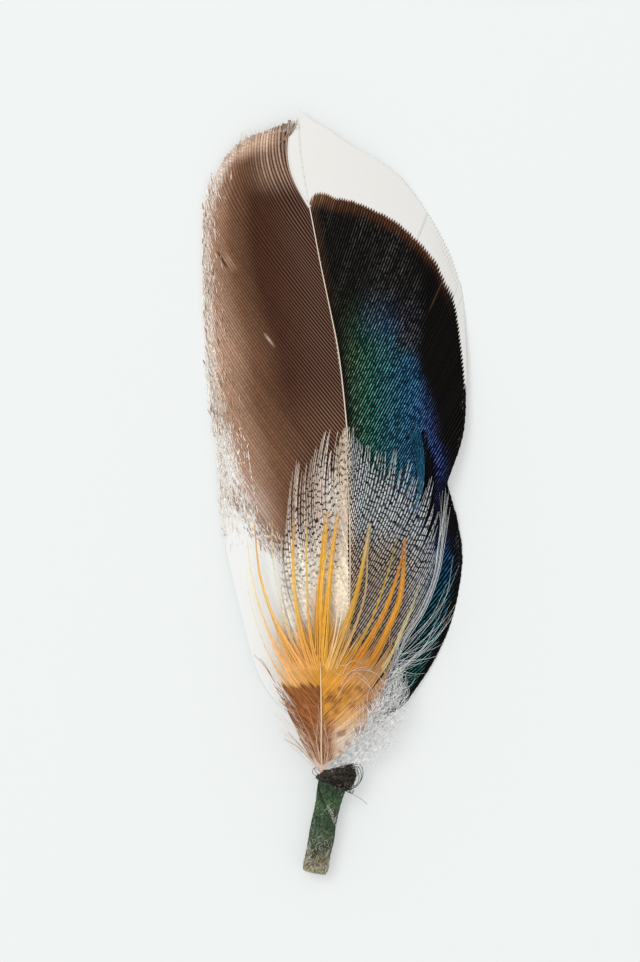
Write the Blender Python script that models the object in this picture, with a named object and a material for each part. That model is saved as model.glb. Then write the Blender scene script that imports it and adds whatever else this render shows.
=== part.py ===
"""A hat feather: four dyed and natural feathers laid over one another, bound with thread.

The bunch lies on its back. +Y runs from the taped stem to the feather tips, +X to the right of
someone who looks down on it, and +Z is up. The table is at z = 0. The plans below are drawn in
millimetres for a piece 115.2 mm long, and LENGTH scales them all.
"""

import math
from dataclasses import dataclass

import bmesh
import bpy
from mathutils import Vector

# Driving dimensions
LENGTH = 0.1152
DRAWN_LENGTH = 115.2
UNIT = LENGTH / DRAWN_LENGTH

# The vanes: half their thickness beside the shaft and at the barb tips, and how far the
# barbs run straight on before they bend, from 0 to 1
VANE_HALF = 0.13
TIP_HALF = 0.09
BEND_STIFFNESS = 0.8
BARB_STATIONS = (0.35, 0.7, 1.0)
LOCK_SHARPNESS = 0.55

# The crown line of the front feather, which the others lie under and over
CROWN = 5.1
CROWN_AT = 5.0
CROWN_FALL = 0.00126
LEFT_DROOP = 0.0120
RIGHT_DROOP = 0.0105

# The rear feather's crown line, close over the table
REAR_CROWN = 2.1
REAR_CROWN_AT = -18.0
REAR_CROWN_FALL = 0.0011
REAR_RIGHT_DROOP = 0.0155
REAR_LEFT_DROOP = 0.005

# The taped stem: (y, x of its axis, height of its axis, outer radius, bore radius)
STEM_TOP = -43.0
STEM_SECTIONS = (
    (-43.0, -0.1, 2.45, 2.00, 1.75),
    (-44.6, -0.4, 2.05, 1.96, 1.62),
    (-46.5, -0.8, 1.60, 1.84, 1.48),
    (-50.0, -1.55, 1.60, 1.80, 1.42),
    (-54.0, -2.3, 1.60, 1.80, 1.42),
    (-56.2, -2.75, 1.60, 1.90, 1.42),
)
STEM_LEAN = math.radians(11.5)
STEM_SIDES = 20
STEM_END = 0.9
STEM_END_RADIUS = 1.72

# The thread binding: a band around the stem's top, thin on the left and thick on the right
BAND_Y = -42.8
BAND_X = -0.1
BAND_Z = 2.45
BAND_BORE = 2.15
BAND_RADIUS = 2.3
BAND_BULGE = 0.45
BAND_HALF = 1.05
BAND_FLARE = 0.75
BAND_TURNS = 6
BAND_GROOVE = 0.1
BAND_ROUNDING = 0.4
BAND_SIDES = 28
BAND_LOWEST = 0.1


@dataclass
class Feather:
    """One feather: its shaft in plan, its key barbs and how it lies in the bunch.

    A key barb is its root on the shaft, the corner that it bends towards, and its tip.
    Both sides list their key barbs from the quill to the tip.
    """

    name: str
    shaft: tuple
    left: tuple
    right: tuple
    quill: tuple
    radius: float
    tip_radius: float
    spacing: float
    locks: int
    notch: float
    height: object
    colour: tuple


def smooth(points, at):
    """The value at `at` of a smooth curve through (position, value) points in rising order."""
    if at <= points[0][0]:
        return points[0][1]
    if at >= points[-1][0]:
        return points[-1][1]
    last = len(points) - 1
    i = next(k for k in range(last) if points[k + 1][0] >= at)

    def slope(k):
        low, high = max(k - 1, 0), min(k + 1, last)
        return (points[high][1] - points[low][1]) / (points[high][0] - points[low][0])

    (start, a), (end, b) = points[i], points[i + 1]
    span = end - start
    t = (at - start) / span
    return (
        a * (2 * t**3 - 3 * t**2 + 1)
        + b * (3 * t**2 - 2 * t**3)
        + slope(i) * (span * (t**3 - 2 * t**2 + t))
        + slope(i + 1) * (span * (t**3 - t**2))
    )


def shaft_x(feather, y):
    return smooth([(point[1], point[0]) for point in feather.shaft], y)


def front_height(x, y):
    """Height of the front feather's middle surface: an arch that droops to both edges."""
    aside = x - shaft_x(FRONT, y)
    droop = LEFT_DROOP if aside < 0 else RIGHT_DROOP
    return CROWN - CROWN_FALL * (y - CROWN_AT) ** 2 - droop * aside**2


def rear_height(x, y):
    aside = x - shaft_x(REAR, y)
    droop = REAR_LEFT_DROOP if aside < 0 else REAR_RIGHT_DROOP
    return REAR_CROWN - REAR_CROWN_FALL * (y - REAR_CROWN_AT) ** 2 - droop * aside**2


def flank_height(x, y):
    """The flank feather lies on the front one, a little closer to it on the right."""
    lift = smooth(((STEM_TOP, 0.75), (-35.0, 1.0), (10.0, 1.0)), y)
    aside = max(x - shaft_x(FRONT, y), 0.0)
    return front_height(x, y) + lift - 0.0018 * aside**2


def golden_height(x, y):
    """The golden feather lies on top of the flank feather."""
    lift = smooth(((STEM_TOP, 0.45), (-40.0, 0.66), (-33.0, 1.0), (0.0, 1.0)), y)
    return flank_height(x, y) + lift


def barb_point(keys, y, along):
    """A point of the barb whose root is at y, at a share `along` of its length."""
    root, corner, tip = (
        smooth([(key[0][1], Vector(key[part])) for key in keys], y) for part in range(3)
    )
    near_root = root.lerp(corner, BEND_STIFFNESS)
    near_tip = tip.lerp(corner, BEND_STIFFNESS)
    rest = 1 - along
    return (
        root * rest**3
        + near_root * (3 * rest**2 * along)
        + near_tip * (3 * rest * along**2)
        + tip * along**3
    )


def lock_length(feather, keys, y, side):
    """How much of its length a barb has: full at a lock's middle, less between locks."""
    low, high = keys[0][0][1], keys[-1][0][1]
    if feather.locks:
        phase = (feather.locks * (y - low) / (high - low) + 0.37 * side) % 1.0
    else:
        roots = [key[0][1] for key in keys]
        i = max(k for k in range(len(roots) - 1) if roots[k] <= max(y, low))
        phase = (y - roots[i]) / (roots[i + 1] - roots[i])
    return 1 - feather.notch * (1 - abs(2 * phase - 1)) ** LOCK_SHARPNESS


def half_thickness(along):
    return VANE_HALF + (TIP_HALF - VANE_HALF) * along


def vane_loop(feather, y, radius):
    """The closed section that follows a left barb, the shaft and a right barb."""
    upper, lower = [], []

    def add(x, place_y, half):
        middle = max(feather.height(x, place_y), half)
        upper.append(Vector((x, place_y, middle + half)))
        lower.append(Vector((x, place_y, middle - half)))

    centre = shaft_x(feather, y)
    for side, keys in ((-1, feather.left), (1, feather.right)):
        full = lock_length(feather, keys, y, side)
        stations = BARB_STATIONS if side > 0 else BARB_STATIONS[::-1]
        if side > 0:
            add(centre, y, radius)
            add(centre + radius, y, VANE_HALF)
        for station in stations:
            point = barb_point(keys, y, station * full)
            add(point.x, point.y, half_thickness(station))
        if side < 0:
            add(centre - radius, y, VANE_HALF)
    return upper + lower[::-1]


def quill_loop(centre, radius, count):
    """A round section of the bare quill, with as many points as a vane section."""
    loop = []
    for i in range(count):
        angle = math.pi - 2 * math.pi * (i + 0.5) / count
        loop.append(centre + Vector((radius * math.cos(angle), 0, radius * math.sin(angle))))
    return loop


def stem_section(y):
    """The stem's axis x and height, outer radius and bore radius at y."""
    rising = STEM_SECTIONS[::-1]
    return [smooth([(row[0], row[i]) for row in rising], y) for i in range(1, 5)]


def quill_centre(feather, y):
    """Where the quill runs inside the tape: beside its axis, by the feather's own offset."""
    axis_x, axis_z = stem_section(y)[:2]
    (top_x, top_z), (low_x, low_z) = feather.quill
    share = min((STEM_TOP - y) / 3.5, 1.0)
    aside = top_x + (low_x - top_x) * share
    above = top_z + (low_z - top_z) * share
    return Vector((axis_x + aside, y, axis_z + above))


def loft(name, loops, joined, colour, roughness):
    """A closed solid through loops of equal count: joined end to start, or with both ends filled."""
    mesh = bmesh.new()
    rows = [[mesh.verts.new(point * UNIT) for point in loop] for loop in loops]
    count = len(rows[0])
    pairs = list(zip(rows, rows[1:]))
    if joined:
        pairs.append((rows[-1], rows[0]))
    for lower, upper in pairs:
        for i in range(count):
            j = (i + 1) % count
            mesh.faces.new((lower[i], lower[j], upper[j], upper[i]))
    if not joined:
        for row in (rows[0], rows[-1]):
            for i in range(count // 2 - 1):
                mesh.faces.new((row[i], row[i + 1], row[count - 2 - i], row[count - 1 - i]))
    bmesh.ops.recalc_face_normals(mesh, faces=mesh.faces)
    bmesh.ops.triangulate(mesh, faces=mesh.faces)
    data = bpy.data.meshes.new(name)
    mesh.to_mesh(data)
    mesh.free()
    data.shade_smooth()
    data.set_sharp_from_angle(angle=math.radians(40))
    piece = bpy.data.objects.new(name, data)
    bpy.context.scene.collection.objects.link(piece)
    piece.data.materials.append(plain_material(name, colour, roughness))
    return piece


def plain_material(name, colour, roughness):
    material = bpy.data.materials.new(name)
    material.use_nodes = True
    shader = material.node_tree.nodes["Principled BSDF"]
    shader.inputs["Base Color"].default_value = (*colour, 1.0)
    shader.inputs["Roughness"].default_value = roughness
    shader.inputs["Metallic"].default_value = 0.0
    return material


def barb_roots(feather, first, last):
    """Where the vane's sections start: at each key barb, and evenly between them."""
    keys = {key[0][1] for key in feather.left + feather.right}
    stops = sorted({first, last} | {y for y in keys if first < y < last})
    roots = []
    for low, high in zip(stops, stops[1:]):
        steps = max(round((high - low) / feather.spacing), 1)
        roots += [low + (high - low) * step / steps for step in range(steps)]
    return roots + [last]


def make_feather(feather):
    """Quill inside the tape and the band, then the shaft with both vanes out to the barb tips."""
    count = 2 * (2 * len(BARB_STATIONS) + 3)
    loops = [
        quill_loop(quill_centre(feather, y), feather.radius, count)
        for y in (-54.8, -50.0, -46.5, -44.6, STEM_TOP)
    ]
    first = max(feather.left[0][0][1], feather.right[0][0][1])
    last = min(feather.left[-1][0][1], feather.right[-1][0][1])
    bare = (STEM_TOP + first) / 2
    middle = Vector((shaft_x(feather, bare), bare, 0))
    middle.z = feather.height(middle.x, bare)
    loops.append(quill_loop(middle, feather.radius, count))
    for y in barb_roots(feather, first, last):
        share = (y - first) / (last - first)
        radius = feather.radius + (feather.tip_radius - feather.radius) * share**0.8
        loops.append(vane_loop(feather, y, radius))
    return loft(feather.name, loops, False, feather.colour, 0.6)


def make_stem():
    """The tape: a cup that is closed at its pinched end and flat where it lies on the table."""

    def section(y, x, z, radius):
        loop = []
        for i in range(STEM_SIDES):
            angle = 2 * math.pi * (i + 0.5) / STEM_SIDES
            across = radius * math.cos(angle)
            point = Vector((x + across * math.cos(STEM_LEAN), y - across * math.sin(STEM_LEAN), 0))
            point.z = max(z + radius * math.sin(angle), 0.0)
            loop.append(point)
        return loop

    outer = [section(y, x, z, radius) for y, x, z, radius, bore in STEM_SECTIONS[::-1]]
    bore = [section(y, x, z, radius) for y, x, z, outer_radius, radius in STEM_SECTIONS[:-1]]
    y, x, z = STEM_SECTIONS[-1][:3]
    end = section(y - STEM_END, x - STEM_END * math.sin(STEM_LEAN), z, STEM_END_RADIUS)
    loops = [end, *outer, *bore, section(y + 0.7, x, z, STEM_SECTIONS[-1][4])]
    return loft("stem_tape", loops, False, (0.05, 0.11, 0.06), 0.85)


def make_binding():
    """The thread band: turns of thread as ridges, wound wider on the right."""

    def loop(radius_of, share):
        points = []
        for i in range(BAND_SIDES):
            angle = 2 * math.pi * (i + 0.5) / BAND_SIDES
            half = BAND_HALF + BAND_FLARE * math.cos(angle)
            radius = radius_of(angle)
            points.append(
                Vector(
                    (
                        BAND_X + radius * math.cos(angle),
                        BAND_Y + half * share,
                        max(BAND_Z + radius * math.sin(angle), BAND_LOWEST),
                    )
                )
            )
        return points

    def outer(depth):
        return lambda angle: BAND_RADIUS + BAND_BULGE * (1 + math.cos(angle)) - depth

    loops = []
    rows = 2 * BAND_TURNS
    for row in range(rows + 1):
        share = row / rows * 2 - 1
        rounding = BAND_ROUNDING * (1 - math.sqrt(1 - min(abs(share), 0.98) ** 2))
        loops.append(loop(outer(rounding + BAND_GROOVE * ((row + 1) % 2)), share))
    loops.append(loop(lambda angle: BAND_BORE, 1))
    loops.append(loop(lambda angle: BAND_BORE, -1))
    return loft("thread_binding", loops, True, (0.02, 0.017, 0.015), 0.7)


FRONT = Feather(
    name="speculum_feather_front",
    shaft=(
        (0.0, -43.0), (0.4, -41.5), (1.1, -37.2), (1.8, -29.7), (2.2, -22.2), (2.4, -8.0),
        (2.4, -1.2), (2.2, 5.5), (1.6, 13.0), (0.6, 21.3), (-0.8, 28.3), (-2.1, 34.5),
        (-3.0, 39.3), (-3.8, 43.4), (-4.6, 47.5), (-5.2, 52.0), (-5.4, 56.4),
    ),
    left=(
        ((0.6, -38.7), (-11.2, -30.5), (-13.2, -21.0)),
        ((1.1, -34.2), (-13.5, -22.5), (-15.5, -11.5)),
        ((1.5, -29.7), (-14.8, -14.5), (-17.3, -3.0)),
        ((1.9, -24.4), (-15.0, -6.5), (-17.5, 4.5)),
        ((2.2, -19.9), (-15.0, 1.5), (-18.2, 12.0)),
        ((2.4, -13.9), (-17.3, 10.0), (-19.2, 21.5)),
        ((2.4, -7.9), (-19.0, 18.3), (-19.5, 28.5)),
        ((2.4, -1.2), (-19.5, 26.1), (-19.7, 34.5)),
        ((2.2, 5.5), (-19.7, 32.5), (-19.7, 39.5)),
        ((1.6, 13.0), (-19.5, 39.0), (-19.1, 43.8)),
        ((0.4, 21.6), (-18.1, 44.1), (-17.2, 48.6)),
        ((-0.3, 25.8), (-15.9, 45.8), (-15.0, 51.4)),
        ((-1.2, 30.3), (-13.9, 46.5), (-12.9, 52.6)),
        ((-2.1, 34.6), (-11.7, 46.9), (-10.7, 53.4)),
        ((-3.3, 41.1), (-8.8, 49.8), (-8.3, 54.2)),
        ((-4.3, 46.0), (-7.2, 51.0), (-6.3, 55.5)),
        ((-5.0, 51.0), (-6.2, 54.0), (-5.8, 56.4)),
        ((-5.4, 56.2), (-5.4, 56.7), (-5.3, 57.2)),
    ),
    right=(
        ((0.8, -37.9), (5.4, -31.2), (8.7, -25.2)),
        ((1.3, -31.2), (8.7, -19.2), (12.9, -10.2)),
        ((1.8, -24.4), (11.4, -7.9), (16.9, 1.4)),
        ((2.1, -21.0), (14.4, 0.3), (19.2, 8.2)),
        ((2.1, -16.5), (14.4, 5.5), (19.7, 15.2)),
        ((2.4, -9.9), (13.7, 10.0), (19.7, 22.6)),
        ((2.4, -0.9), (12.9, 18.0), (18.9, 31.3)),
        ((1.9, 9.0), (9.6, 24.3), (15.7, 39.3)),
        ((0.6, 21.3), (6.6, 36.3), (10.2, 47.1)),
        ((-0.8, 28.3), (3.4, 40.0), (6.1, 50.2)),
        ((-2.4, 36.3), (0.6, 46.0), (2.1, 52.4)),
        ((-3.8, 43.0), (-1.8, 49.8), (-1.3, 54.8)),
        ((-4.3, 46.4), (-3.3, 51.3), (-3.3, 55.9)),
        ((-5.0, 51.0), (-4.8, 54.5), (-4.9, 57.2)),
        ((-5.4, 56.2), (-5.3, 57.0), (-5.2, 57.6)),
    ),
    quill=((0.1, -0.25), (-0.4, -0.35)),
    radius=0.34,
    tip_radius=0.12,
    spacing=1.9,
    locks=13,
    notch=0.012,
    height=front_height,
    colour=(0.10, 0.07, 0.05),
)

REAR = Feather(
    name="speculum_feather_back",
    shaft=(
        (0.4, -43.0), (0.9, -41.0), (1.6, -37.5), (2.5, -34.5), (3.4, -31.2), (4.5, -26.7),
        (5.7, -22.2), (7.0, -16.2), (8.4, -10.2), (9.4, -4.2), (10.3, 0.3), (11.7, 7.8),
    ),
    left=(
        ((1.6, -37.5), (-0.6, -34.9), (-1.8, -31.2)),
        ((4.5, -26.7), (0.9, -22.2), (-0.9, -14.7)),
        ((7.0, -16.2), (2.7, -10.2), (1.5, -2.7)),
        ((9.4, -4.2), (6.3, 1.8), (6.3, 7.8)),
        ((10.3, 0.3), (8.7, 5.5), (9.6, 10.0)),
    ),
    right=(
        ((1.6, -37.5), (7.6, -34.5), (11.1, -31.2)),
        ((2.5, -34.5), (9.9, -30.4), (14.7, -25.8)),
        ((3.4, -31.2), (12.2, -25.9), (17.4, -19.9)),
        ((4.5, -26.7), (13.7, -19.9), (19.1, -12.0)),
        ((5.7, -22.2), (13.7, -14.7), (18.8, -5.7)),
        ((7.0, -16.2), (13.7, -8.7), (17.8, -1.6)),
        ((8.4, -10.2), (13.7, -3.4), (16.9, 1.8)),
        ((9.4, -4.2), (13.2, 1.1), (15.9, 6.0)),
        ((10.3, 0.3), (12.9, 4.8), (14.4, 9.3)),
    ),
    quill=((0.45, -1.05), (0.35, -0.95)),
    radius=0.34,
    tip_radius=0.12,
    spacing=2.0,
    locks=7,
    notch=0.015,
    height=rear_height,
    colour=(0.02, 0.05, 0.06),
)

FLANK = Feather(
    name="flank_feather",
    shaft=(
        (0.6, -43.0), (0.9, -40.5), (1.2, -38.0), (1.8, -31.2), (2.2, -22.2), (2.4, -10.2),
        (2.2, -1.2), (1.9, 3.3), (1.8, 7.0),
    ),
    left=(
        ((0.9, -40.2), (-5.5, -35.0), (-7.0, -28.0)),
        ((1.3, -35.7), (-7.9, -22.2), (-8.1, -13.2)),
        ((1.8, -29.7), (-7.5, -11.7), (-7.3, -1.9)),
        ((2.1, -22.2), (-7.0, -5.0), (-6.3, 4.5)),
        ((2.2, -14.7), (-5.0, -1.2), (-4.3, 6.8)),
        ((2.1, -7.2), (-2.7, 1.8), (-2.1, 8.2)),
        ((2.1, -1.2), (-0.4, 4.8), (-0.1, 10.0)),
        ((1.9, 3.3), (1.2, 6.3), (1.5, 9.6)),
        ((1.8, 7.0), (1.8, 8.6), (1.9, 10.0)),
    ),
    right=(
        ((0.9, -40.2), (6.3, -39.4), (8.8, -37.8)),
        ((1.0, -38.8), (10.2, -35.8), (12.4, -31.2)),
        ((1.3, -37.2), (15.1, -28.2), (16.9, -21.4)),
        ((1.6, -34.2), (17.4, -19.9), (18.4, -13.2)),
        ((1.8, -30.4), (16.6, -13.9), (18.1, -7.2)),
        ((2.1, -25.9), (15.1, -7.9), (17.2, -0.9)),
        ((2.2, -21.4), (13.2, -5.7), (15.8, 1.5)),
        ((2.4, -16.9), (11.1, -4.2), (13.8, 3.6)),
        ((2.4, -11.7), (8.4, -1.6), (11.1, 6.3)),
        ((2.4, -6.5), (6.9, 1.8), (8.7, 6.9)),
        ((2.2, -1.2), (4.2, 4.0), (5.0, 8.2)),
        ((1.9, 3.3), (2.9, 6.6), (2.7, 9.6)),
        ((1.8, 7.0), (2.1, 8.6), (2.2, 9.9)),
    ),
    quill=((0.65, 0.5), (0.4, 0.35)),
    radius=0.28,
    tip_radius=0.10,
    spacing=0.9,
    locks=12,
    notch=0.09,
    height=flank_height,
    colour=(0.55, 0.53, 0.51),
)

GOLDEN = Feather(
    name="golden_feather",
    shaft=(
        (-1.15, -43.0), (-1.8, -40.9), (-1.9, -33.6), (-2.0, -26.7), (-1.9, -22.2), (-1.7, -18.0),
    ),
    left=(
        ((-1.8, -40.9), (-4.8, -39.2), (-7.6, -36.6)),
        ((-1.9, -38.6), (-6.3, -34.5), (-7.6, -30.0)),
        ((-1.9, -34.9), (-8.5, -29.7), (-12.6, -23.7)),
        ((-1.9, -33.0), (-9.9, -22.2), (-13.0, -10.2)),
        ((-2.0, -30.4), (-9.9, -19.2), (-11.5, -5.1)),
        ((-2.0, -28.2), (-8.5, -16.2), (-9.4, -3.8)),
        ((-2.0, -26.4), (-6.1, -17.7), (-5.8, -4.2)),
        ((-2.0, -23.7), (-4.0, -16.9), (-3.9, -5.0)),
        ((-1.9, -20.7), (-2.2, -13.2), (-1.1, -2.9)),
    ),
    right=(
        ((-1.8, -40.9), (2.4, -37.9), (4.2, -34.5)),
        ((-1.9, -37.9), (6.1, -31.9), (8.7, -27.0)),
        ((-1.9, -35.4), (9.9, -25.2), (12.2, -14.7)),
        ((-1.9, -33.0), (9.3, -22.2), (10.8, -7.2)),
        ((-1.9, -31.2), (6.9, -20.7), (9.8, -10.9)),
        ((-1.9, -29.7), (6.6, -19.2), (9.0, -8.7)),
        ((-2.0, -27.0), (2.7, -17.7), (5.1, -5.0)),
        ((-1.9, -22.9), (-0.6, -14.7), (0.6, -3.8)),
        ((-1.9, -20.7), (-1.2, -11.7), (-0.6, -2.9)),
    ),
    quill=((-1.05, 0.95), (-0.35, 1.0)),
    radius=0.27,
    tip_radius=0.12,
    spacing=0.33,
    locks=0,
    notch=0.66,
    height=golden_height,
    colour=(0.62, 0.33, 0.06),
)

for leftover in list(bpy.data.objects):
    bpy.data.objects.remove(leftover)
for one_feather in (REAR, FRONT, FLANK, GOLDEN):
    make_feather(one_feather)
make_stem()
make_binding()
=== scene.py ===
"""The looks of a hat feather: a tied bunch of four feathers with a thread binding and a taped stem.

Every barb, hair, turn of thread and fold of tape is real geometry. The plans below are in
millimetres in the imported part's own frame: +Y to the feather tips, +X right, +Z up.
"""

import math

import bpy
import numpy as np
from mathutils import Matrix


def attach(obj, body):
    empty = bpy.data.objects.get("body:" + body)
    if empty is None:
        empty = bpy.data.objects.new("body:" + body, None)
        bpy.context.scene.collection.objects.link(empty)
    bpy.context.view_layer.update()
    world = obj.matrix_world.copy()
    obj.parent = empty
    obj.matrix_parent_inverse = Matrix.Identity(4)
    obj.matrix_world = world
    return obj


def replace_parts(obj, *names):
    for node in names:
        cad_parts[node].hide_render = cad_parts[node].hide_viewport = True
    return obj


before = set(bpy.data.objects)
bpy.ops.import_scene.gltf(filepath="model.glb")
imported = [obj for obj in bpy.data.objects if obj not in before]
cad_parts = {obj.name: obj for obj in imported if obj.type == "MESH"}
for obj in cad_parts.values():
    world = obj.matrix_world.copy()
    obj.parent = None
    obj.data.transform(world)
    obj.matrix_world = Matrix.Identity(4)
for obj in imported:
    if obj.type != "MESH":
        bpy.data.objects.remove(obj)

bl_info = {
    "name": "Hat Feather",
    "version": (1, 0, 0),
    "blender": (4, 5, 0),
    "location": "3D View > Sidebar > Hat Feather",
    "description": "Builds a tied bunch of feathers for a hat, barb by barb",
    "category": "Add Mesh",
}

MM = 0.001
BEND_STIFFNESS = 0.8
STEM_TOP = -43.0
STEM_LENGTH = 14.6
LEAST_HEIGHT = 0.02
# Settings of a sweep whose section is round
ROUND = {"ridge": 1.0, "underside": 1.0, "roundness": 1.0}

# Each feather's shaft in plan, and its key barbs: root on the shaft, corner it bends to, tip.
# A wing feather is `top` high at `crest` along it, and falls as the square of the distance
# from there, by `arch` along it and by `droop` to the left and right of its shaft.
FRONT = {
    "top": 5.1, "crest": 5.0, "arch": 0.00126, "droop": (0.0120, 0.0105),
    "shaft": (
        (0.0, -43.0), (0.4, -41.5), (1.1, -37.2), (1.8, -29.7), (2.2, -22.2), (2.4, -8.0),
        (2.4, -1.2), (2.2, 5.5), (1.6, 13.0), (0.6, 21.3), (-0.8, 28.3), (-2.1, 34.5),
        (-3.0, 39.3), (-3.8, 43.4), (-4.6, 47.5), (-5.2, 52.0), (-5.4, 56.4),
    ),
    "left": (
        ((0.6, -38.7), (-11.2, -30.5), (-13.2, -21.0)),
        ((1.1, -34.2), (-13.5, -22.5), (-15.5, -11.5)),
        ((1.5, -29.7), (-14.8, -14.5), (-17.3, -3.0)),
        ((1.9, -24.4), (-15.0, -6.5), (-17.5, 4.5)),
        ((2.2, -19.9), (-15.0, 1.5), (-18.2, 12.0)),
        ((2.4, -13.9), (-17.3, 10.0), (-19.2, 21.5)),
        ((2.4, -7.9), (-19.0, 18.3), (-19.5, 28.5)),
        ((2.4, -1.2), (-19.5, 26.1), (-19.7, 34.5)),
        ((2.2, 5.5), (-19.7, 32.5), (-19.7, 39.5)),
        ((1.6, 13.0), (-19.5, 39.0), (-19.1, 43.8)),
        ((0.4, 21.6), (-18.1, 44.1), (-17.2, 48.6)),
        ((-0.3, 25.8), (-15.9, 45.8), (-15.0, 51.4)),
        ((-1.2, 30.3), (-13.9, 46.5), (-12.9, 52.6)),
        ((-2.1, 34.6), (-11.7, 46.9), (-10.7, 53.4)),
        ((-3.0, 39.6), (-8.9, 49.0), (-8.2, 54.4)),
        ((-3.5, 42.1), (-7.8, 48.8), (-6.6, 55.2)),
        ((-4.3, 46.0), (-7.0, 51.0), (-6.1, 55.8)),
        ((-5.0, 51.0), (-6.2, 54.0), (-5.8, 56.4)),
        ((-5.4, 56.2), (-5.4, 56.7), (-5.3, 57.2)),
    ),
    "right": (
        ((0.8, -37.9), (5.4, -31.2), (8.7, -25.2)),
        ((1.3, -31.2), (8.7, -19.2), (12.9, -10.2)),
        ((1.8, -24.4), (11.4, -7.9), (16.9, 1.4)),
        ((2.1, -21.0), (14.4, 0.3), (19.2, 8.2)),
        ((2.1, -16.5), (14.4, 5.5), (19.7, 15.2)),
        ((2.4, -9.9), (13.7, 10.0), (19.7, 22.6)),
        ((2.4, -0.9), (12.9, 18.0), (18.9, 31.3)),
        ((1.9, 9.0), (9.6, 24.3), (15.7, 39.3)),
        ((0.6, 21.3), (6.6, 36.3), (10.2, 47.1)),
        ((-0.8, 28.3), (3.4, 40.0), (6.1, 50.2)),
        ((-2.4, 36.3), (0.6, 46.0), (2.1, 52.4)),
        ((-3.8, 43.0), (-1.8, 49.8), (-1.3, 54.8)),
        ((-4.3, 46.4), (-3.3, 51.3), (-3.3, 55.9)),
        ((-5.0, 51.0), (-4.8, 54.5), (-4.9, 57.2)),
        ((-5.4, 56.2), (-5.3, 57.0), (-5.2, 57.6)),
    ),
}
REAR = {
    "top": 2.1, "crest": -18.0, "arch": 0.0011, "droop": (0.005, 0.0155),
    "shaft": (
        (0.4, -43.0), (0.9, -41.0), (1.6, -37.5), (2.5, -34.5), (3.4, -31.2), (4.5, -26.7),
        (5.7, -22.2), (7.0, -16.2), (8.4, -10.2), (9.4, -4.2), (10.3, 0.3), (11.7, 7.8),
    ),
    "left": (
        ((1.6, -37.5), (-0.6, -34.9), (-1.8, -31.2)),
        ((4.5, -26.7), (0.9, -22.2), (-0.9, -14.7)),
        ((7.0, -16.2), (2.7, -10.2), (1.5, -2.7)),
        ((9.4, -4.2), (6.3, 1.8), (6.3, 7.8)),
        ((10.3, 0.3), (8.7, 5.5), (9.6, 10.0)),
    ),
    "right": (
        ((1.6, -37.5), (7.6, -34.5), (11.1, -31.2)),
        ((2.5, -34.5), (9.9, -30.4), (14.7, -25.8)),
        ((3.4, -31.2), (12.2, -25.9), (17.4, -19.9)),
        ((4.5, -26.7), (13.7, -19.9), (19.1, -12.0)),
        ((5.7, -22.2), (13.7, -14.7), (18.8, -5.7)),
        ((7.0, -16.2), (13.7, -8.7), (17.8, -1.6)),
        ((8.4, -10.2), (13.7, -3.4), (16.9, 1.8)),
        ((9.4, -4.2), (13.2, 1.1), (15.9, 6.0)),
        ((10.3, 0.3), (12.9, 4.8), (14.4, 9.3)),
    ),
}
FLANK = {
    "shaft": (
        (0.6, -43.0), (0.9, -40.5), (1.2, -38.0), (1.8, -31.2), (2.2, -22.2), (2.4, -10.2),
        (2.2, -1.2), (1.9, 3.3), (1.8, 7.0),
    ),
    "left": (
        ((0.9, -40.2), (-5.5, -34.9), (-7.0, -28.1)),
        ((1.3, -35.4), (-7.9, -23.7), (-8.1, -14.7)),
        ((1.7, -31.9), (-8.7, -17.7), (-7.6, -4.2)),
        ((1.9, -29.4), (-8.2, -13.2), (-6.1, 4.5)),
        ((2.1, -25.8), (-7.3, -9.9), (-4.8, 6.1)),
        ((2.1, -21.9), (-5.8, -7.2), (-2.7, 8.1)),
        ((2.2, -17.7), (-4.2, -4.2), (-1.2, 9.2)),
        ((2.2, -13.7), (-2.4, -1.9), (0.0, 9.8)),
        ((2.1, -9.2), (-0.9, 0.3), (0.9, 9.8)),
        ((2.1, -4.2), (0.4, 3.3), (1.4, 9.8)),
        ((2.0, 0.3), (1.2, 5.5), (1.6, 9.8)),
        ((1.9, 4.0), (1.6, 7.8), (1.7, 9.9)),
        ((1.8, 7.0), (1.8, 8.7), (1.8, 10.0)),
    ),
    "right": (
        ((0.9, -40.2), (6.3, -39.4), (8.8, -37.8)),
        ((1.0, -38.8), (10.2, -35.8), (12.4, -31.2)),
        ((1.3, -37.2), (12.0, -28.2), (14.5, -18.4)),
        ((1.6, -34.2), (13.5, -19.5), (16.0, -10.5)),
        ((1.8, -30.3), (13.8, -15.0), (16.1, -5.4)),
        ((2.1, -25.8), (13.9, -9.4), (16.0, -0.9)),
        ((2.2, -22.2), (13.2, -5.4), (14.8, 2.7)),
        ((2.3, -18.3), (10.9, -3.3), (12.9, 4.3)),
        ((2.4, -14.7), (9.0, -2.4), (10.5, 6.8)),
        ((2.4, -11.7), (7.2, -1.2), (8.4, 6.5)),
        ((2.4, -8.7), (5.7, 0.3), (6.5, 6.9)),
        ((2.4, -5.4), (4.5, 2.1), (5.0, 7.9)),
        ((2.2, -1.8), (3.4, 4.5), (3.8, 8.7)),
        ((2.0, 2.5), (2.7, 6.9), (2.9, 9.6)),
        ((1.8, 7.0), (2.0, 8.7), (2.2, 9.9)),
    ),
}
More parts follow.
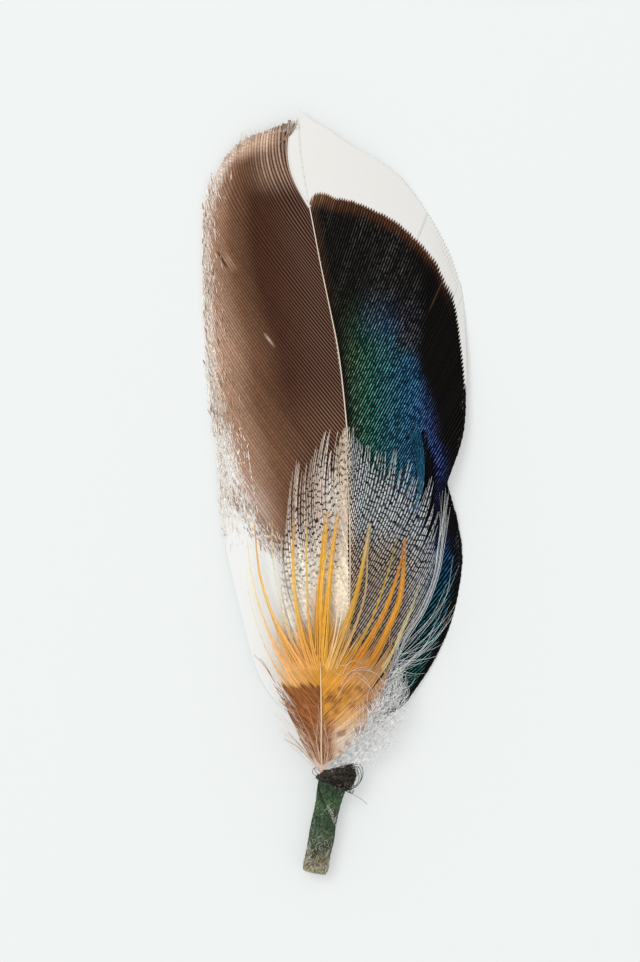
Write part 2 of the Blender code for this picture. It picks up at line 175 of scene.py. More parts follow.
GOLDEN = {
    "shaft": (
        (-1.15, -43.0), (-1.8, -40.9), (-1.9, -33.6), (-2.0, -26.7), (-2.1, -22.2),
        (-2.2, -18.0),
    ),
    "left": (
        ((-1.8, -40.9), (-3.6, -39.6), (-4.6, -38.0)),
        ((-1.9, -38.6), (-5.2, -36.6), (-6.6, -33.5)),
        ((-1.9, -36.5), (-6.6, -32.6), (-8.0, -29.3)),
        ((-1.9, -34.9), (-7.9, -28.6), (-9.4, -24.5)),
        ((-1.9, -33.0), (-8.0, -26.3), (-9.8, -20.6)),
        ((-2.0, -30.4), (-6.9, -24.3), (-8.4, -19.0)),
        ((-2.0, -28.2), (-5.6, -23.3), (-6.4, -19.0)),
        ((-2.0, -26.4), (-4.4, -22.3), (-4.9, -18.6)),
        ((-2.1, -23.7), (-3.2, -20.7), (-3.3, -16.6)),
        ((-2.2, -20.7), (-2.6, -17.3), (-2.6, -13.6)),
    ),
    "right": (
        ((-1.8, -40.9), (3.0, -38.0), (5.8, -34.0)),
        ((-1.9, -37.9), (7.3, -31.4), (8.8, -25.5)),
        ((-1.9, -35.4), (7.1, -26.9), (9.0, -21.2)),
        ((-1.9, -33.0), (5.4, -25.2), (7.6, -19.8)),
        ((-1.9, -31.2), (3.7, -24.8), (5.3, -19.6)),
        ((-1.9, -29.7), (1.8, -24.8), (2.9, -20.6)),
        ((-2.0, -27.0), (0.2, -23.2), (0.8, -19.6)),
        ((-2.1, -22.9), (-1.1, -19.6), (-0.9, -16.0)),
        ((-2.2, -20.7), (-1.6, -17.2), (-1.5, -13.4)),
    ),
}
# Locks of the golden feather: path from tip to shaft, width at its tip, middle and foot,
# barbs in it, colours at tip, middle and foot
LOCKS = (
    (((-13.2, -11.4), (-12.8, -15.2), (-11.3, -20.7), (-8.9, -26.0), (-4.6, -31.8)),
     (0.10, 0.16, 0.5), 2, ("F4EFDC", "F2E4C0", "E8B478")),
    (((-13.0, -7.0), (-12.4, -12.5), (-11.2, -17.2), (-8.7, -23.3), (-4.8, -29.4)),
     (0.16, 0.30, 1.0), 3, ("EFE6CC", "F2DDB0", "E6AC6C")),
    (((-11.9, -4.8), (-11.6, -8.6), (-11.0, -12.8), (-9.3, -18.2), (-6.6, -23.6), (-2.4, -30.4)),
     (0.14, 0.55, 2.2), 7, ("DCA650", "F0C568", "E4A45C")),
    (((-9.25, -4.2), (-9.3, -8.0), (-8.8, -12.5), (-7.8, -17.4), (-6.2, -22.4), (-2.4, -29.0)),
     (0.12, 0.2, 0.7), 2, ("D0B070", "E0DCB8", "CF9450")),
    (((-5.9, -4.0), (-6.1, -8.0), (-6.05, -12.5), (-5.55, -17.6), (-4.4, -23.0), (-2.3, -28.6)),
     (0.26, 0.52, 1.7), 6, ("CE9A48", "EFC050", "E0A050")),
    (((-4.05, -3.7), (-4.15, -9.5), (-4.0, -14.0), (-3.85, -18.5), (-3.2, -23.4), (-2.2, -27.0)),
     (0.16, 0.3, 0.7), 2, ("D8B468", "E8C478", "E2A350")),
    (((-1.0, -2.8), (-1.4, -6.5), (-1.7, -10.6), (-2.05, -14.7), (-2.2, -19.0), (-2.1, -26.0)),
     (0.5, 0.98, 1.4), 7, ("E0AC40", "E6AA34", "DB9C3C")),
    (((-1.0, -9.0), (-1.7, -12.0), (-1.9, -15.0), (-2.0, -18.0)),
     (0.16, 0.5, 0.9), 4, ("EFD6A0", "E8BC66", "E0A848")),
    (((0.6, -3.2), (0.05, -6.5), (-0.4, -10.2), (-0.75, -14.0), (-1.05, -18.0), (-1.7, -26.0)),
     (0.45, 0.8, 1.3), 6, ("DDA648", "E4AC3A", "D9A040")),
    (((1.0, -12.0), (0.6, -17.0), (-0.1, -22.2), (-1.6, -27.4)),
     (0.1, 0.18, 0.5), 2, ("E4D4BC", "F0DCC0", "DCA860")),
    (((1.8, -14.0), (1.1, -18.5), (0.3, -22.2), (-1.4, -28.0)),
     (0.08, 0.12, 0.4), 1, ("E4D4BC", "F0DCC0", "DCA860")),
    (((5.3, -4.6), (4.9, -7.6), (4.1, -11.8), (3.2, -15.8), (1.5, -20.7), (-1.6, -28.8)),
     (0.45, 0.85, 1.6), 6, ("CDB888", "C9982E", "D2A058")),
    (((5.5, -5.2), (5.0, -9.5), (4.65, -15.0), (3.3, -19.6), (1.4, -24.0), (-1.6, -29.8)),
     (0.2, 0.26, 0.8), 2, ("A08A60", "B8A070", "D0A060")),
    (((9.4, -6.7), (8.35, -11.0), (6.85, -15.8), (5.15, -20.0), (2.6, -24.5), (-1.6, -31.2)),
     (0.16, 0.3, 0.9), 2, ("8E8C48", "BC9A34", "BE8640")),
    (((10.5, -7.2), (10.0, -10.4), (8.65, -14.9), (6.9, -19.2), (3.9, -24.4), (-1.6, -32.2)),
     (0.28, 0.75, 1.7), 6, ("B4742C", "D9962A", "C07830")),
    (((10.6, -7.0), (10.4, -11.7), (9.8, -16.0), (8.25, -20.0), (5.6, -25.2), (-1.6, -33.4)),
     (0.45, 0.95, 1.7), 8, ("C8863A", "DC9A2C", "B4742F")),
    (((9.7, -14.0), (9.1, -18.5), (8.3, -21.4), (8.5, -24.6)),
     (0.1, 0.12, 0.1), 1, ("C08A40", "C08438", "A87030")),
    (((12.8, -13.6), (11.9, -16.6), (10.4, -20.4), (8.1, -25.0), (4.1, -30.4), (-1.4, -35.0)),
     (0.25, 0.45, 1.0), 3, ("B8B084", "C6B684", "B88A58")),
    (((11.2, -17.8), (9.5, -21.8), (8.1, -25.6), (4.6, -30.2)),
     (0.1, 0.14, 0.3), 1, ("C8BC90", "C8B890", "C09A68")),
)


def linear(hex_code):
    """The linear RGB of an sRGB hex value."""
    shares = [int(hex_code[i : i + 2], 16) / 255 for i in (0, 2, 4)]
    return tuple(s / 12.92 if s <= 0.04045 else ((s + 0.055) / 1.055) ** 2.4 for s in shares)


def smooth(points, at):
    """The values at `at` of a smooth curve through (position, value) points in rising order."""
    places, values = np.array(points, float).T
    number = np.arange(len(places))
    before, after = np.maximum(number - 1, 0), np.minimum(number + 1, number[-1])
    slopes = (values[after] - values[before]) / (places[after] - places[before])
    at = np.clip(at, places[0], places[-1])
    i = np.clip(np.searchsorted(places, at) - 1, 0, number[-1] - 1)
    span = places[i + 1] - places[i]
    t = (at - places[i]) / span
    return (
        values[i] * (2 * t**3 - 3 * t**2 + 1)
        + values[i + 1] * (3 * t**2 - 2 * t**3)
        + slopes[i] * span * (t**3 - 2 * t**2 + t)
        + slopes[i + 1] * span * (t**3 - t**2)
    )


def step(low, high, value):
    """0 below `low`, 1 above `high` and a soft rise between them."""
    t = np.clip((value - low) / (high - low), 0, 1)
    return t * t * (3 - 2 * t)


def shaft_x(feather, y):
    """Where a feather's shaft runs in plan, at the places `y` along the bunch."""
    return smooth([(point[1], point[0]) for point in feather["shaft"]], y)


def arch_height(feather, x, y):
    """Height of a wing feather's middle surface: an arch along it that droops to both edges."""
    aside = x - shaft_x(feather, y)
    droop = np.where(aside < 0, *feather["droop"])
    return feather["top"] - feather["arch"] * (y - feather["crest"]) ** 2 - droop * aside**2


def front_height(x, y):
    return arch_height(FRONT, x, y)


def rear_height(x, y):
    return arch_height(REAR, x, y)


def flank_height(x, y):
    """The flank feather lies on the front one, a little closer to it on the right."""
    lift = smooth(((STEM_TOP, 0.75), (-35.0, 1.0), (10.0, 1.0)), y)
    aside = np.maximum(x - shaft_x(FRONT, y), 0.0)
    return front_height(x, y) + lift - 0.0018 * aside**2


def golden_height(x, y):
    """The golden feather lies on top of the flank feather."""
    lift = smooth(((STEM_TOP, 0.45), (-40.0, 0.66), (-33.0, 1.0), (0.0, 1.0)), y)
    return flank_height(x, y) + lift


def travel(places):
    """Length along each line of [line, station, axis] from its start."""
    legs = np.linalg.norm(np.diff(places, axis=1), axis=-1)
    return np.concatenate([np.zeros((len(legs), 1)), np.cumsum(legs, axis=1)], axis=1)


def heading(degrees):
    """A step of 1 mm in plan, at an angle from +X."""
    way = math.radians(degrees)
    return np.array((math.cos(way), math.sin(way)))


def right_of(legs):
    """Steps in plan as long as the given ones and square to them, to their right."""
    return np.stack([legs[..., 1], -legs[..., 0]], axis=-1)


def across(plan):
    """Unit steps in plan square to lines of [.., station, xy], to their right."""
    way = right_of(np.gradient(plan, axis=-2))
    return way / np.maximum(np.linalg.norm(way, axis=-1, keepdims=True), 1e-6)


def spaced(first, last, count, density):
    """Places from `first` to `last`, closer where the density at (place, value) is higher."""
    at = np.linspace(first, last, 400)
    weight = np.interp(at, *np.array(density, float).T)
    total = np.concatenate([[0], np.cumsum((weight[1:] + weight[:-1]) / 2)])
    return np.interp(np.linspace(0, total[-1], count), total, at)


class Barbs:
    """The barbs of one side of a feather, as arrays of [barb, station] in millimetres."""

    def __init__(
        self, keys, height, count, stations, seed,
        first=None, uneven=0.01, reach=1.0, density=((0.0, 1.0), (1.0, 1.0)),
    ):
        self.chance = np.random.default_rng(seed)
        self.height = height
        first = keys[0][0][1] if first is None else first
        self.root = spaced(first, keys[-1][0][1], count, density)[:, None]
        self.along = np.linspace(0, 1, stations)[None, :] * np.ones((count, 1))
        reach = self.along * (reach - self.chance.uniform(0, uneven, (count, 1)))
        ends = []
        for part in range(3):
            places = [
                smooth([(key[0][1], key[part][axis]) for key in keys], self.root[:, 0])
                for axis in (0, 1)
            ]
            ends.append(np.stack(places, axis=-1)[:, None])
        root, corner, tip = ends
        near_root = root + (corner - root) * BEND_STIFFNESS
        near_tip = tip + (corner - tip) * BEND_STIFFNESS
        a = reach[..., None]
        self.plan = (
            root * (1 - a) ** 3
            + near_root * (3 * (1 - a) ** 2 * a)
            + near_tip * (3 * (1 - a) * a**2)
            + tip * a**3
        )
        self.luck = self.chance.uniform(0, 1, (count, 1)) * np.ones_like(self.along)
        self.lift = np.zeros_like(self.along)

    @property
    def x(self):
        return self.plan[..., 0]

    @property
    def y(self):
        return self.plan[..., 1]

    def bunch(self, middle, pull):
        """Draws each barb to the barb numbered `middle`, by the share `pull`."""
        self.plan = self.plan + (self.plan[middle] - self.plan) * pull[..., None]

    def hem(self, kept=slice(None)):
        """Turns the kept barbs' ends along the vane's edge, over the tip of the next one."""
        tips = self.plan[:, -1].copy()
        after = np.concatenate([tips[1:], tips[-1:]])
        for station, share in ((-3, 0.0), (-2, 0.6), (-1, 1.3)):
            self.plan[kept, station] = (tips + (after - tips) * share)[kept]

    def sway(self, size, waves, share):
        """Bends every barb sideways by its own slow wave, where `share` lets it."""
        phase = self.chance.uniform(0, 2 * math.pi, (len(self.root), 2))
        wave = np.sin(self.along * waves * 2 * math.pi + phase[:, :1])
        drift = np.sin(phase[:, 1:]) + 0.6 * wave
        self.plan = self.plan + across(self.plan) * (size * share * drift)[..., None]

    def spacing(self):
        """How far apart neighbours are, measured across them, to the nearer one."""
        gap = np.abs(((self.plan[1:] - self.plan[:-1]) * across(self.plan)[1:]).sum(-1))
        after = np.concatenate([gap, gap[-1:]])
        before = np.concatenate([gap[:1], gap])
        return np.minimum(after, before)

    def spot(self, x, y, reach, barbs=1):
        """1 on the few barbs nearest to a place, for `reach` to each side along them."""
        far = np.hypot(self.x - x, self.y - y)
        nearest = far.min(axis=1).argsort()[:barbs]
        mark = np.zeros_like(far)
        mark[nearest] = step(reach * 1.3, reach * 0.7, far[nearest])
        return mark

    def surface(self):
        """The barbs' places with their height, and the sheet's own upward direction."""
        e = 0.2
        slope_x = (self.height(self.x + e, self.y) - self.height(self.x - e, self.y)) / (2 * e)
        slope_y = (self.height(self.x, self.y + e) - self.height(self.x, self.y - e)) / (2 * e)
        up = np.stack([-slope_x, -slope_y, np.ones_like(slope_x)], axis=-1)
        up /= np.linalg.norm(up, axis=-1, keepdims=True)
        return raised(self.plan, self.height, self.lift), up


def show(name, data):
    """A new object in the scene."""
    shown = bpy.data.objects.new(name, data)
    bpy.context.scene.collection.objects.link(shown)
    return shown


def store(mesh, name, values, shape):
    """Keeps numbers or colours at a mesh's points as a named attribute."""
    values = np.asarray(values, float)
    kind, key = "FLOAT", "value"
    if values.ndim > len(shape):
        kind, key = "FLOAT_COLOR", "color"
        values = np.concatenate([np.broadcast_to(values, shape + (3,)), np.ones(shape + (1,))], -1)
    else:
        values = np.broadcast_to(values, shape)
    mesh.attributes.new(name, kind, "POINT").data.foreach_set(key, values.ravel())


def guide_mesh(name, places, up, half, **values):
    """A mesh of open lines for a sweep, [line, station, xyz] in mm, with values at its points."""
    shape = lines, stations = places.shape[:2]
    index = np.arange(lines * stations).reshape(shape)
    edges = np.stack([index[:, :-1], index[:, 1:]], axis=-1)
    mesh = bpy.data.meshes.new(name)
    mesh.vertices.add(lines * stations)
    mesh.edges.add(edges.size // 2)
    places = places.copy()
    places[..., 2] = np.maximum(places[..., 2], half * 0.4)
    mesh.vertices.foreach_set("co", (places * MM).ravel())
    mesh.edges.foreach_set("vertices", edges.ravel())
    values.update(
        half=half * MM, line=np.arange(lines)[:, None], share=np.linspace(0, 1, stations),
        run=travel(places),
    )
    for key, value in values.items():
        store(mesh, key, value, shape)
    mesh.attributes.new("up", "FLOAT_VECTOR", "POINT").data.foreach_set("vector", up.ravel())
    return mesh


def add(tree, kind, settings=(), inputs=(), out=0):
    """Adds a node and returns one of its outputs, or the node itself where it has none.

    Settings are its own properties by name. Inputs are its sockets, by name or number, each
    given a value or another node's output.
    """
    node = tree.nodes.new(kind)
    for key, value in dict(settings).items():
        setattr(node, key, value)
    for key, value in dict(inputs).items():
        if isinstance(value, bpy.types.NodeSocket):
            tree.links.new(value, node.inputs[key])
        else:
            node.inputs[key].default_value = value
    return node.outputs[out] if len(node.outputs) else node


def new_tree(name, sockets):
    """A Geometry Nodes tree with a geometry in and out, and the named sockets as inputs."""
    tree = bpy.data.node_groups.new(name, "GeometryNodeTree")
    tree.interface.new_socket("Geometry", in_out="OUTPUT", socket_type="NodeSocketGeometry")
    tree.interface.new_socket("Geometry", in_out="INPUT", socket_type="NodeSocketGeometry")
    for socket, kind in sockets.items():
        tree.interface.new_socket(socket, in_out="INPUT", socket_type="NodeSocket" + kind)
    return tree, tree.nodes.new("NodeGroupInput").outputs


def end_tree(tree, geometry, material):
    """Ends a tree in real geometry with its material."""
    real = add(tree, "GeometryNodeRealizeInstances", inputs={0: geometry})
    dressed = add(tree, "GeometryNodeSetMaterial", inputs={0: real, "Material": material})
    add(tree, "NodeGroupOutput", inputs={0: dressed})


def lines_as_curves(tree, given):
    """Turns the guide lines into curves whose normals point up from the vane."""
    curves = add(tree, "GeometryNodeMeshToCurve", inputs={0: given["Geometry"]})
    up = add(
        tree, "GeometryNodeInputNamedAttribute", {"data_type": "FLOAT_VECTOR"}, {"Name": "up"}
    )
    return add(
        tree, "GeometryNodeSetCurveNormal", {"mode": "FREE"}, {"Curve": curves, "Normal": up}
    )


def sweep_tree():
    """Sweeps a ridged section along every guide line, as wide as the line's own value says."""
    sockets = dict.fromkeys(("Ridge", "Underside", "Roundness"), "Float")
    tree, given = new_tree("Ridged strands", {"Sides": "Int", **sockets, "Material": "Material"})
    curves = lines_as_curves(tree, given)
    circle = add(
        tree, "GeometryNodeCurvePrimitiveCircle", {"mode": "RADIUS"},
        {"Resolution": given["Sides"], "Radius": 1.0},
    )
    index = add(tree, "GeometryNodeInputIndex")
    place = add(tree, "GeometryNodeInputPosition")
    high, aside, _ = add(tree, "ShaderNodeSeparateXYZ", inputs={0: place}).node.outputs
    for name, value in (("rim", index), ("across", aside)):
        circle = add(
            tree, "GeometryNodeStoreNamedAttribute", {"data_type": "FLOAT"},
            {"Geometry": circle, "Name": name, "Value": value},
        )
    square = add(tree, "ShaderNodeMath", {"operation": "MULTIPLY"}, {0: high, 1: high})
    cube = add(tree, "ShaderNodeMath", {"operation": "MULTIPLY"}, {0: square, 1: high})
    rise = add(
        tree, "ShaderNodeMix", {"data_type": "FLOAT"}, {0: given["Roundness"], 2: cube, 3: high}
    )
    above = add(tree, "FunctionNodeCompare", {"operation": "GREATER_THAN"}, {0: high, 1: 0.0})
    most = add(
        tree, "GeometryNodeSwitch", {"input_type": "FLOAT"},
        {"Switch": above, "False": given["Underside"], "True": given["Ridge"]},
    )
    depth = add(tree, "ShaderNodeMath", {"operation": "MULTIPLY"}, {0: rise, 1: most})
    shaped = add(tree, "ShaderNodeCombineXYZ", inputs={0: depth, 1: aside})
    circle = add(
        tree, "GeometryNodeSetPosition", inputs={"Geometry": circle, "Position": shaped}
    )
    half = add(
        tree, "GeometryNodeInputNamedAttribute", {"data_type": "FLOAT"}, {"Name": "half"}
    )
    mesh = add(
        tree, "GeometryNodeCurveToMesh",
        inputs={"Curve": curves, "Profile Curve": circle, "Scale": half, "Fill Caps": True},
    )
    mesh = add(tree, "GeometryNodeSetShadeSmooth", inputs={0: mesh, "Shade Smooth": True})
    end_tree(tree, mesh, given["Material"])


def hair_tree():
    """Stands fine bent hairs along every guide line, turned and sized at random."""
    sizes = ("Spacing", "Length", "Thickness", "Least Angle", "Most Angle", "Spread")
    tree, given = new_tree(
        "Hairs along strands",
        {**dict.fromkeys(sizes, "Float"), "Seed": "Int", "Material": "Material"},
    )
    spots = add(
        tree, "GeometryNodeCurveToPoints", {"mode": "LENGTH"},
        {"Curve": lines_as_curves(tree, given), "Length": given["Spacing"]},
    ).node
    bend = add(
        tree, "GeometryNodeCurveQuadraticBezier",
        inputs={"Resolution": 4, "Start": (0, 0, 0), "Middle": (0, 0, 0.6), "End": (0.25, 0.05, 1)},
    )
    ratio = add(
        tree, "ShaderNodeMath", {"operation": "DIVIDE"},
        {0: given["Thickness"], 1: given["Length"]},
    )
    ring = add(
        tree, "GeometryNodeCurvePrimitiveCircle", {"mode": "RADIUS"},
        {"Resolution": 3, "Radius": ratio},
    )
    share = add(tree, "GeometryNodeSplineParameter")
    thin = add(
        tree, "ShaderNodeMapRange", inputs={"Value": share, "To Min": 1.0, "To Max": 0.25}
    )
    hair = add(
        tree, "GeometryNodeCurveToMesh",
        inputs={"Curve": bend, "Profile Curve": ring, "Scale": thin, "Fill Caps": True},
    )
    back = add(tree, "ShaderNodeMath", {"operation": "MULTIPLY"}, {0: given["Spread"], 1: -1.0})
    lean, turn, size = (
        add(
            tree, "FunctionNodeRandomValue", {"data_type": "FLOAT"},
            {2: least, 3: most, "Seed": given["Seed"]}, out=1,
        )
        for least, most in (
            (given["Least Angle"], given["Most Angle"]), (back, given["Spread"]), (0.45, 1.0),
        )
    )
    side = add(
        tree, "FunctionNodeRandomValue", {"data_type": "BOOLEAN"},
        {"Probability": 0.5, "Seed": given["Seed"]}, out=3,
    )
    half_turn = add(
        tree, "GeometryNodeSwitch", {"input_type": "FLOAT"},
        {"Switch": side, "False": math.pi / 2, "True": -math.pi / 2},
    )
    spin = add(tree, "ShaderNodeMath", {"operation": "ADD"}, {0: turn, 1: half_turn})
    euler = add(tree, "ShaderNodeCombineXYZ", inputs={1: lean, 2: spin})
    local = add(tree, "FunctionNodeEulerToRotation", inputs={0: euler})
    turned = add(
        tree, "FunctionNodeRotateRotation", {"rotation_space": "LOCAL"},
        {0: spots.outputs["Rotation"], 1: local},
    )
    grown = add(
        tree, "GeometryNodeInputNamedAttribute", {"data_type": "FLOAT"}, {"Name": "hair"}
    )
    for factor in (grown, given["Length"]):
        size = add(tree, "ShaderNodeMath", {"operation": "MULTIPLY"}, {0: size, 1: factor})
    hairs = add(
        tree, "GeometryNodeInstanceOnPoints",
        inputs={
            "Points": spots.outputs["Points"], "Instance": hair, "Rotation": turned,
            "Scale": size,
        },
    )
    end_tree(tree, hairs, given["Material"])


def grow(name, guides, tree_name, material, inputs):
    """Runs a Geometry Nodes tree on guide lines and keeps the result as a plain mesh."""
    piece = show(name, guides)
    modifier = piece.modifiers.new(tree_name, "NODES")
    modifier.node_group = bpy.data.node_groups[tree_name]
    inputs["Material"] = material
    for item in modifier.node_group.interface.items_tree:
        if item.in_out == "INPUT" and item.name in inputs:
            modifier[item.identifier] = inputs[item.name]
    graph = bpy.context.evaluated_depsgraph_get()
    mesh = bpy.data.meshes.new_from_object(piece.evaluated_get(graph))
    piece.modifiers.clear()
    piece.data = mesh
    bpy.data.meshes.remove(guides)
    return piece


def read(items, key, kind=np.int32, width=1):
    """One value of every item of a mesh, as a flat array."""
    values = np.zeros(len(items) * width, kind)
    items.foreach_get(key, values)
    return values


def strip_map(mesh, lines, stations, sides):
    """A UV map of one strip a strand: u along it, v around it, so that its pattern bakes.

    A little room stays free between the strips and at the map's edges.
    """
    corners = read(mesh.loops, "vertex_index")
    starts = read(mesh.polygons, "loop_start")
    totals = read(mesh.polygons, "loop_total")
    line, share, rim = (
        read(mesh.attributes[name].data, "value", np.float32)[corners]
        for name in ("line", "share", "rim")
    )
    around, along = (
        np.repeat(np.maximum.reduceat(v, starts) - np.minimum.reduceat(v, starts), totals)
        for v in (rim, share)
    )
    # Faces over the seam go on past the last side. Faces at one level are the end caps.
    cap = along < 1e-6
    rim = np.where((around > sides / 2) & ~cap & (rim < sides / 2), rim + sides, rim)
    angle = 2 * math.pi * rim / sides
    u = np.where(cap, share + np.cos(angle) * 0.4 / stations, share)
    v = np.where(cap, 0.5 + 0.3 * np.sin(angle), rim / sides)
    places = np.stack([0.01 + 0.98 * u, (line + 0.04 + 0.92 * v) / lines], axis=-1)
    layer = mesh.uv_layers.new(name="OFBake")
    layer.data.foreach_set("uv", places.astype(np.float32).ravel())


def strands(
    name, material, slot, places, half, up=None,
    sides=8, ridge=0.5, underside=0.3, roundness=0.0, **values,
):
    """A piece of swept strands, whose ridges point straight up unless `up` says otherwise."""
    up = upward(places) if up is None else up
    inputs = {"Sides": sides, "Ridge": ridge, "Underside": underside, "Roundness": roundness}
    guides = guide_mesh(name, places, up, half, **values)
    piece = grow(name, guides, "Ridged strands", material, inputs)
    strip_map(piece.data, *places.shape[:2], sides)
    return settle(piece)


def settle(piece):
    """Lifts what would dip under the table and fixes the piece to the bunch."""
    points = read(piece.data.vertices, "co", np.float32, 3)
    points[2::3] = np.maximum(points[2::3], LEAST_HEIGHT * MM)
    piece.data.vertices.foreach_set("co", points)
    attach(piece, "root")
    return piece


def hairs(name, material, slot, places, up, size, spacing, length, thickness, angles, spread, seed):
    """A piece of fine hairs along guide lines, with its sizes in mm and its angles in radians."""
    guides = guide_mesh(name, places, up, 0.03, hair=size)
    inputs = {
        "Spacing": spacing * MM, "Length": length * MM, "Thickness": thickness * MM,
        "Least Angle": angles[0], "Most Angle": angles[1], "Spread": spread, "Seed": seed,
    }
    return settle(grow(name, guides, "Hairs along strands", material, inputs))


def paths(lines, stations):
    """Smooth lines through a few points each, as [line, station, axis]."""
    share = np.linspace(0, 1, stations)
    out = []
    for line in lines:
        line = np.array(line, float)
        legs = travel(line[None])[0]
        out.append(
            np.stack([smooth(list(zip(legs, axis)), share * legs[-1]) for axis in line.T], -1)
        )
    return np.array(out)


def raised(plan, height, lift=0.0):
    """Plan points [.., xy] with their height over the table."""
    x, y = plan[..., 0], plan[..., 1]
    return np.concatenate([plan, (height(x, y) + lift)[..., None]], axis=-1)


def locks(chance, count, least, most):
    """Cuts a row of barbs into locks of uneven size: each barb's middle barb and lock number."""
    middle, lock = np.zeros(count, int), np.zeros(count, int)
    start, number = 0, 0
    while start < count:
        end = min(start + int(chance.integers(least, most + 1)), count)
        middle[start:end] = (start + end) // 2
        lock[start:end] = number
        start, number = end, number + 1
    return np.minimum(middle, count - 1), lock


def upward(places):
    """Straight up, at every place."""
    up = np.zeros_like(places)
    up[..., 2] = 1
    return up


def blend(at, *stops):
    """Colours [.., rgb] at the values `at`, between (value, colour) stops."""
    places, colours = zip(*stops)
    return np.stack([np.interp(at, places, channel) for channel in zip(*colours)], axis=-1)


def mix(first, second, share):
    """Colours between two colours or colour arrays."""
    share = np.asarray(share, float)[..., None]
    return np.asarray(first) * (1 - share) + np.asarray(second) * share


def new_material(name, roughness, specular=0.2):
    """A new material, its node tree and its shader."""
    material = bpy.data.materials.new(name)
    material.use_nodes = True
    shader = material.node_tree.nodes["Principled BSDF"]
    shader.inputs["Roughness"].default_value = roughness
    shader.inputs["Specular IOR Level"].default_value = specular
    return material, material.node_tree, shader


def from_ridge(tree):
    """How far a point is from its barb's ridge: 0 on it, 1 at the barb's edges."""
    across = add(tree, "ShaderNodeAttribute", {"attribute_name": "across"}, out="Fac")
    return add(tree, "ShaderNodeMath", {"operation": "ABSOLUTE"}, {0: across})


def ridge_shade(tree, wide, light, dark):
    """A factor that falls from `light` on a barb's ridge to `dark`, `wide` of the way aside."""
    return add(
        tree, "ShaderNodeMapRange", {"interpolation_type": "SMOOTHSTEP"},
        {"Value": from_ridge(tree), "From Min": 0.05, "From Max": wide, "To Min": light,
         "To Max": dark},
    )


def ridged_colour(tree, light, dark, speck_length, wide=0.95):
    """A barb's colour with a painted highlight along its ridge and painted shade beside it, specked
    where frayed.
    """
    ground = add(tree, "ShaderNodeAttribute", {"attribute_name": "ground"})
    relief = add(tree, "ShaderNodeAttribute", {"attribute_name": "relief"}, out="Fac")
    fray = add(tree, "ShaderNodeAttribute", {"attribute_name": "fray"}, out="Fac")
    speck = add(
        tree, "ShaderNodeMapRange",
        inputs={"Value": strand_noise(tree, speck_length), "From Min": 0.34, "From Max": 0.66,
                "To Min": 0.6, "To Max": 1.3},
    )
    shade, speck = (
        add(tree, "ShaderNodeMix", {"data_type": "FLOAT"}, {0: share, 2: 1.0, 3: factor})
        for share, factor in ((relief, ridge_shade(tree, wide, light, dark)), (fray, speck))
    )
    amount = add(tree, "ShaderNodeMath", {"operation": "MULTIPLY"}, {0: shade, 1: speck})
    return add(
        tree, "ShaderNodeVectorMath", {"operation": "SCALE"}, {0: ground, "Scale": amount}
    )


def strand_noise(tree, length, apart=7.31):
    """Noise that changes along each strand every `length` mm, and `apart` to the next one."""
    cell, row = (
        add(
            tree, "ShaderNodeMath", {"operation": "MULTIPLY"},
            {0: add(tree, "ShaderNodeAttribute", {"attribute_name": name}, out="Fac"), 1: scale},
        )
        for name, scale in (("run", 1 / length), ("line", apart))
    )
    spot = add(tree, "ShaderNodeCombineXYZ", inputs={0: cell, 1: row})
    return add(
        tree, "ShaderNodeTexNoise", {"noise_dimensions": "2D"},
        {"Vector": spot, "Scale": 1.0, "Detail": 1.5},
    )


def ridged_material(name, roughness, specular, light, dark, speck_length):
    """Ridged strands in their own colour, with a highlight and shade painted across each ridge as
    `light` and `dark` say. Each such material is made once.
    """
    made = bpy.data.materials.get(name)
    if made:
        return made
    material, tree, shader = new_material(name, roughness, specular)
    colour = ridged_colour(tree, light, dark, speck_length)
    tree.links.new(colour, shader.inputs["Base Color"])
    return material


def vane_material():
    """Melanin-coloured keratin barbs, a little waxy, with a painted highlight along each ridge and
    painted shade beside it.
    """
    material, tree, shader = new_material("Brown keratin vane", 0.6, 0.04)
    colour = ridged_colour(tree, 2.0, 0.0, 0.35, 0.8)
    relief = add(tree, "ShaderNodeAttribute", {"attribute_name": "relief"}, out="Fac")
    ridge = ridge_shade(tree, 0.7, 1.0, 0.0)
    ridge = add(tree, "ShaderNodeMath", {"operation": "MULTIPLY"}, {0: ridge, 1: relief})
    shine = add(
        tree, "ShaderNodeVectorMath", {"operation": "SCALE"},
        {0: linear("473F38"), "Scale": ridge},
    )
    colour = add(tree, "ShaderNodeVectorMath", {"operation": "ADD"}, {0: colour, 1: shine})
    tree.links.new(colour, shader.inputs["Base Color"])
    return material


def shaft_material():
    """Hollow horn-like keratin: smooth, pale and a little glossy."""
    return ridged_material("Pale keratin shaft", 0.4, 0.3, 1.0, 1.0, 0.8)


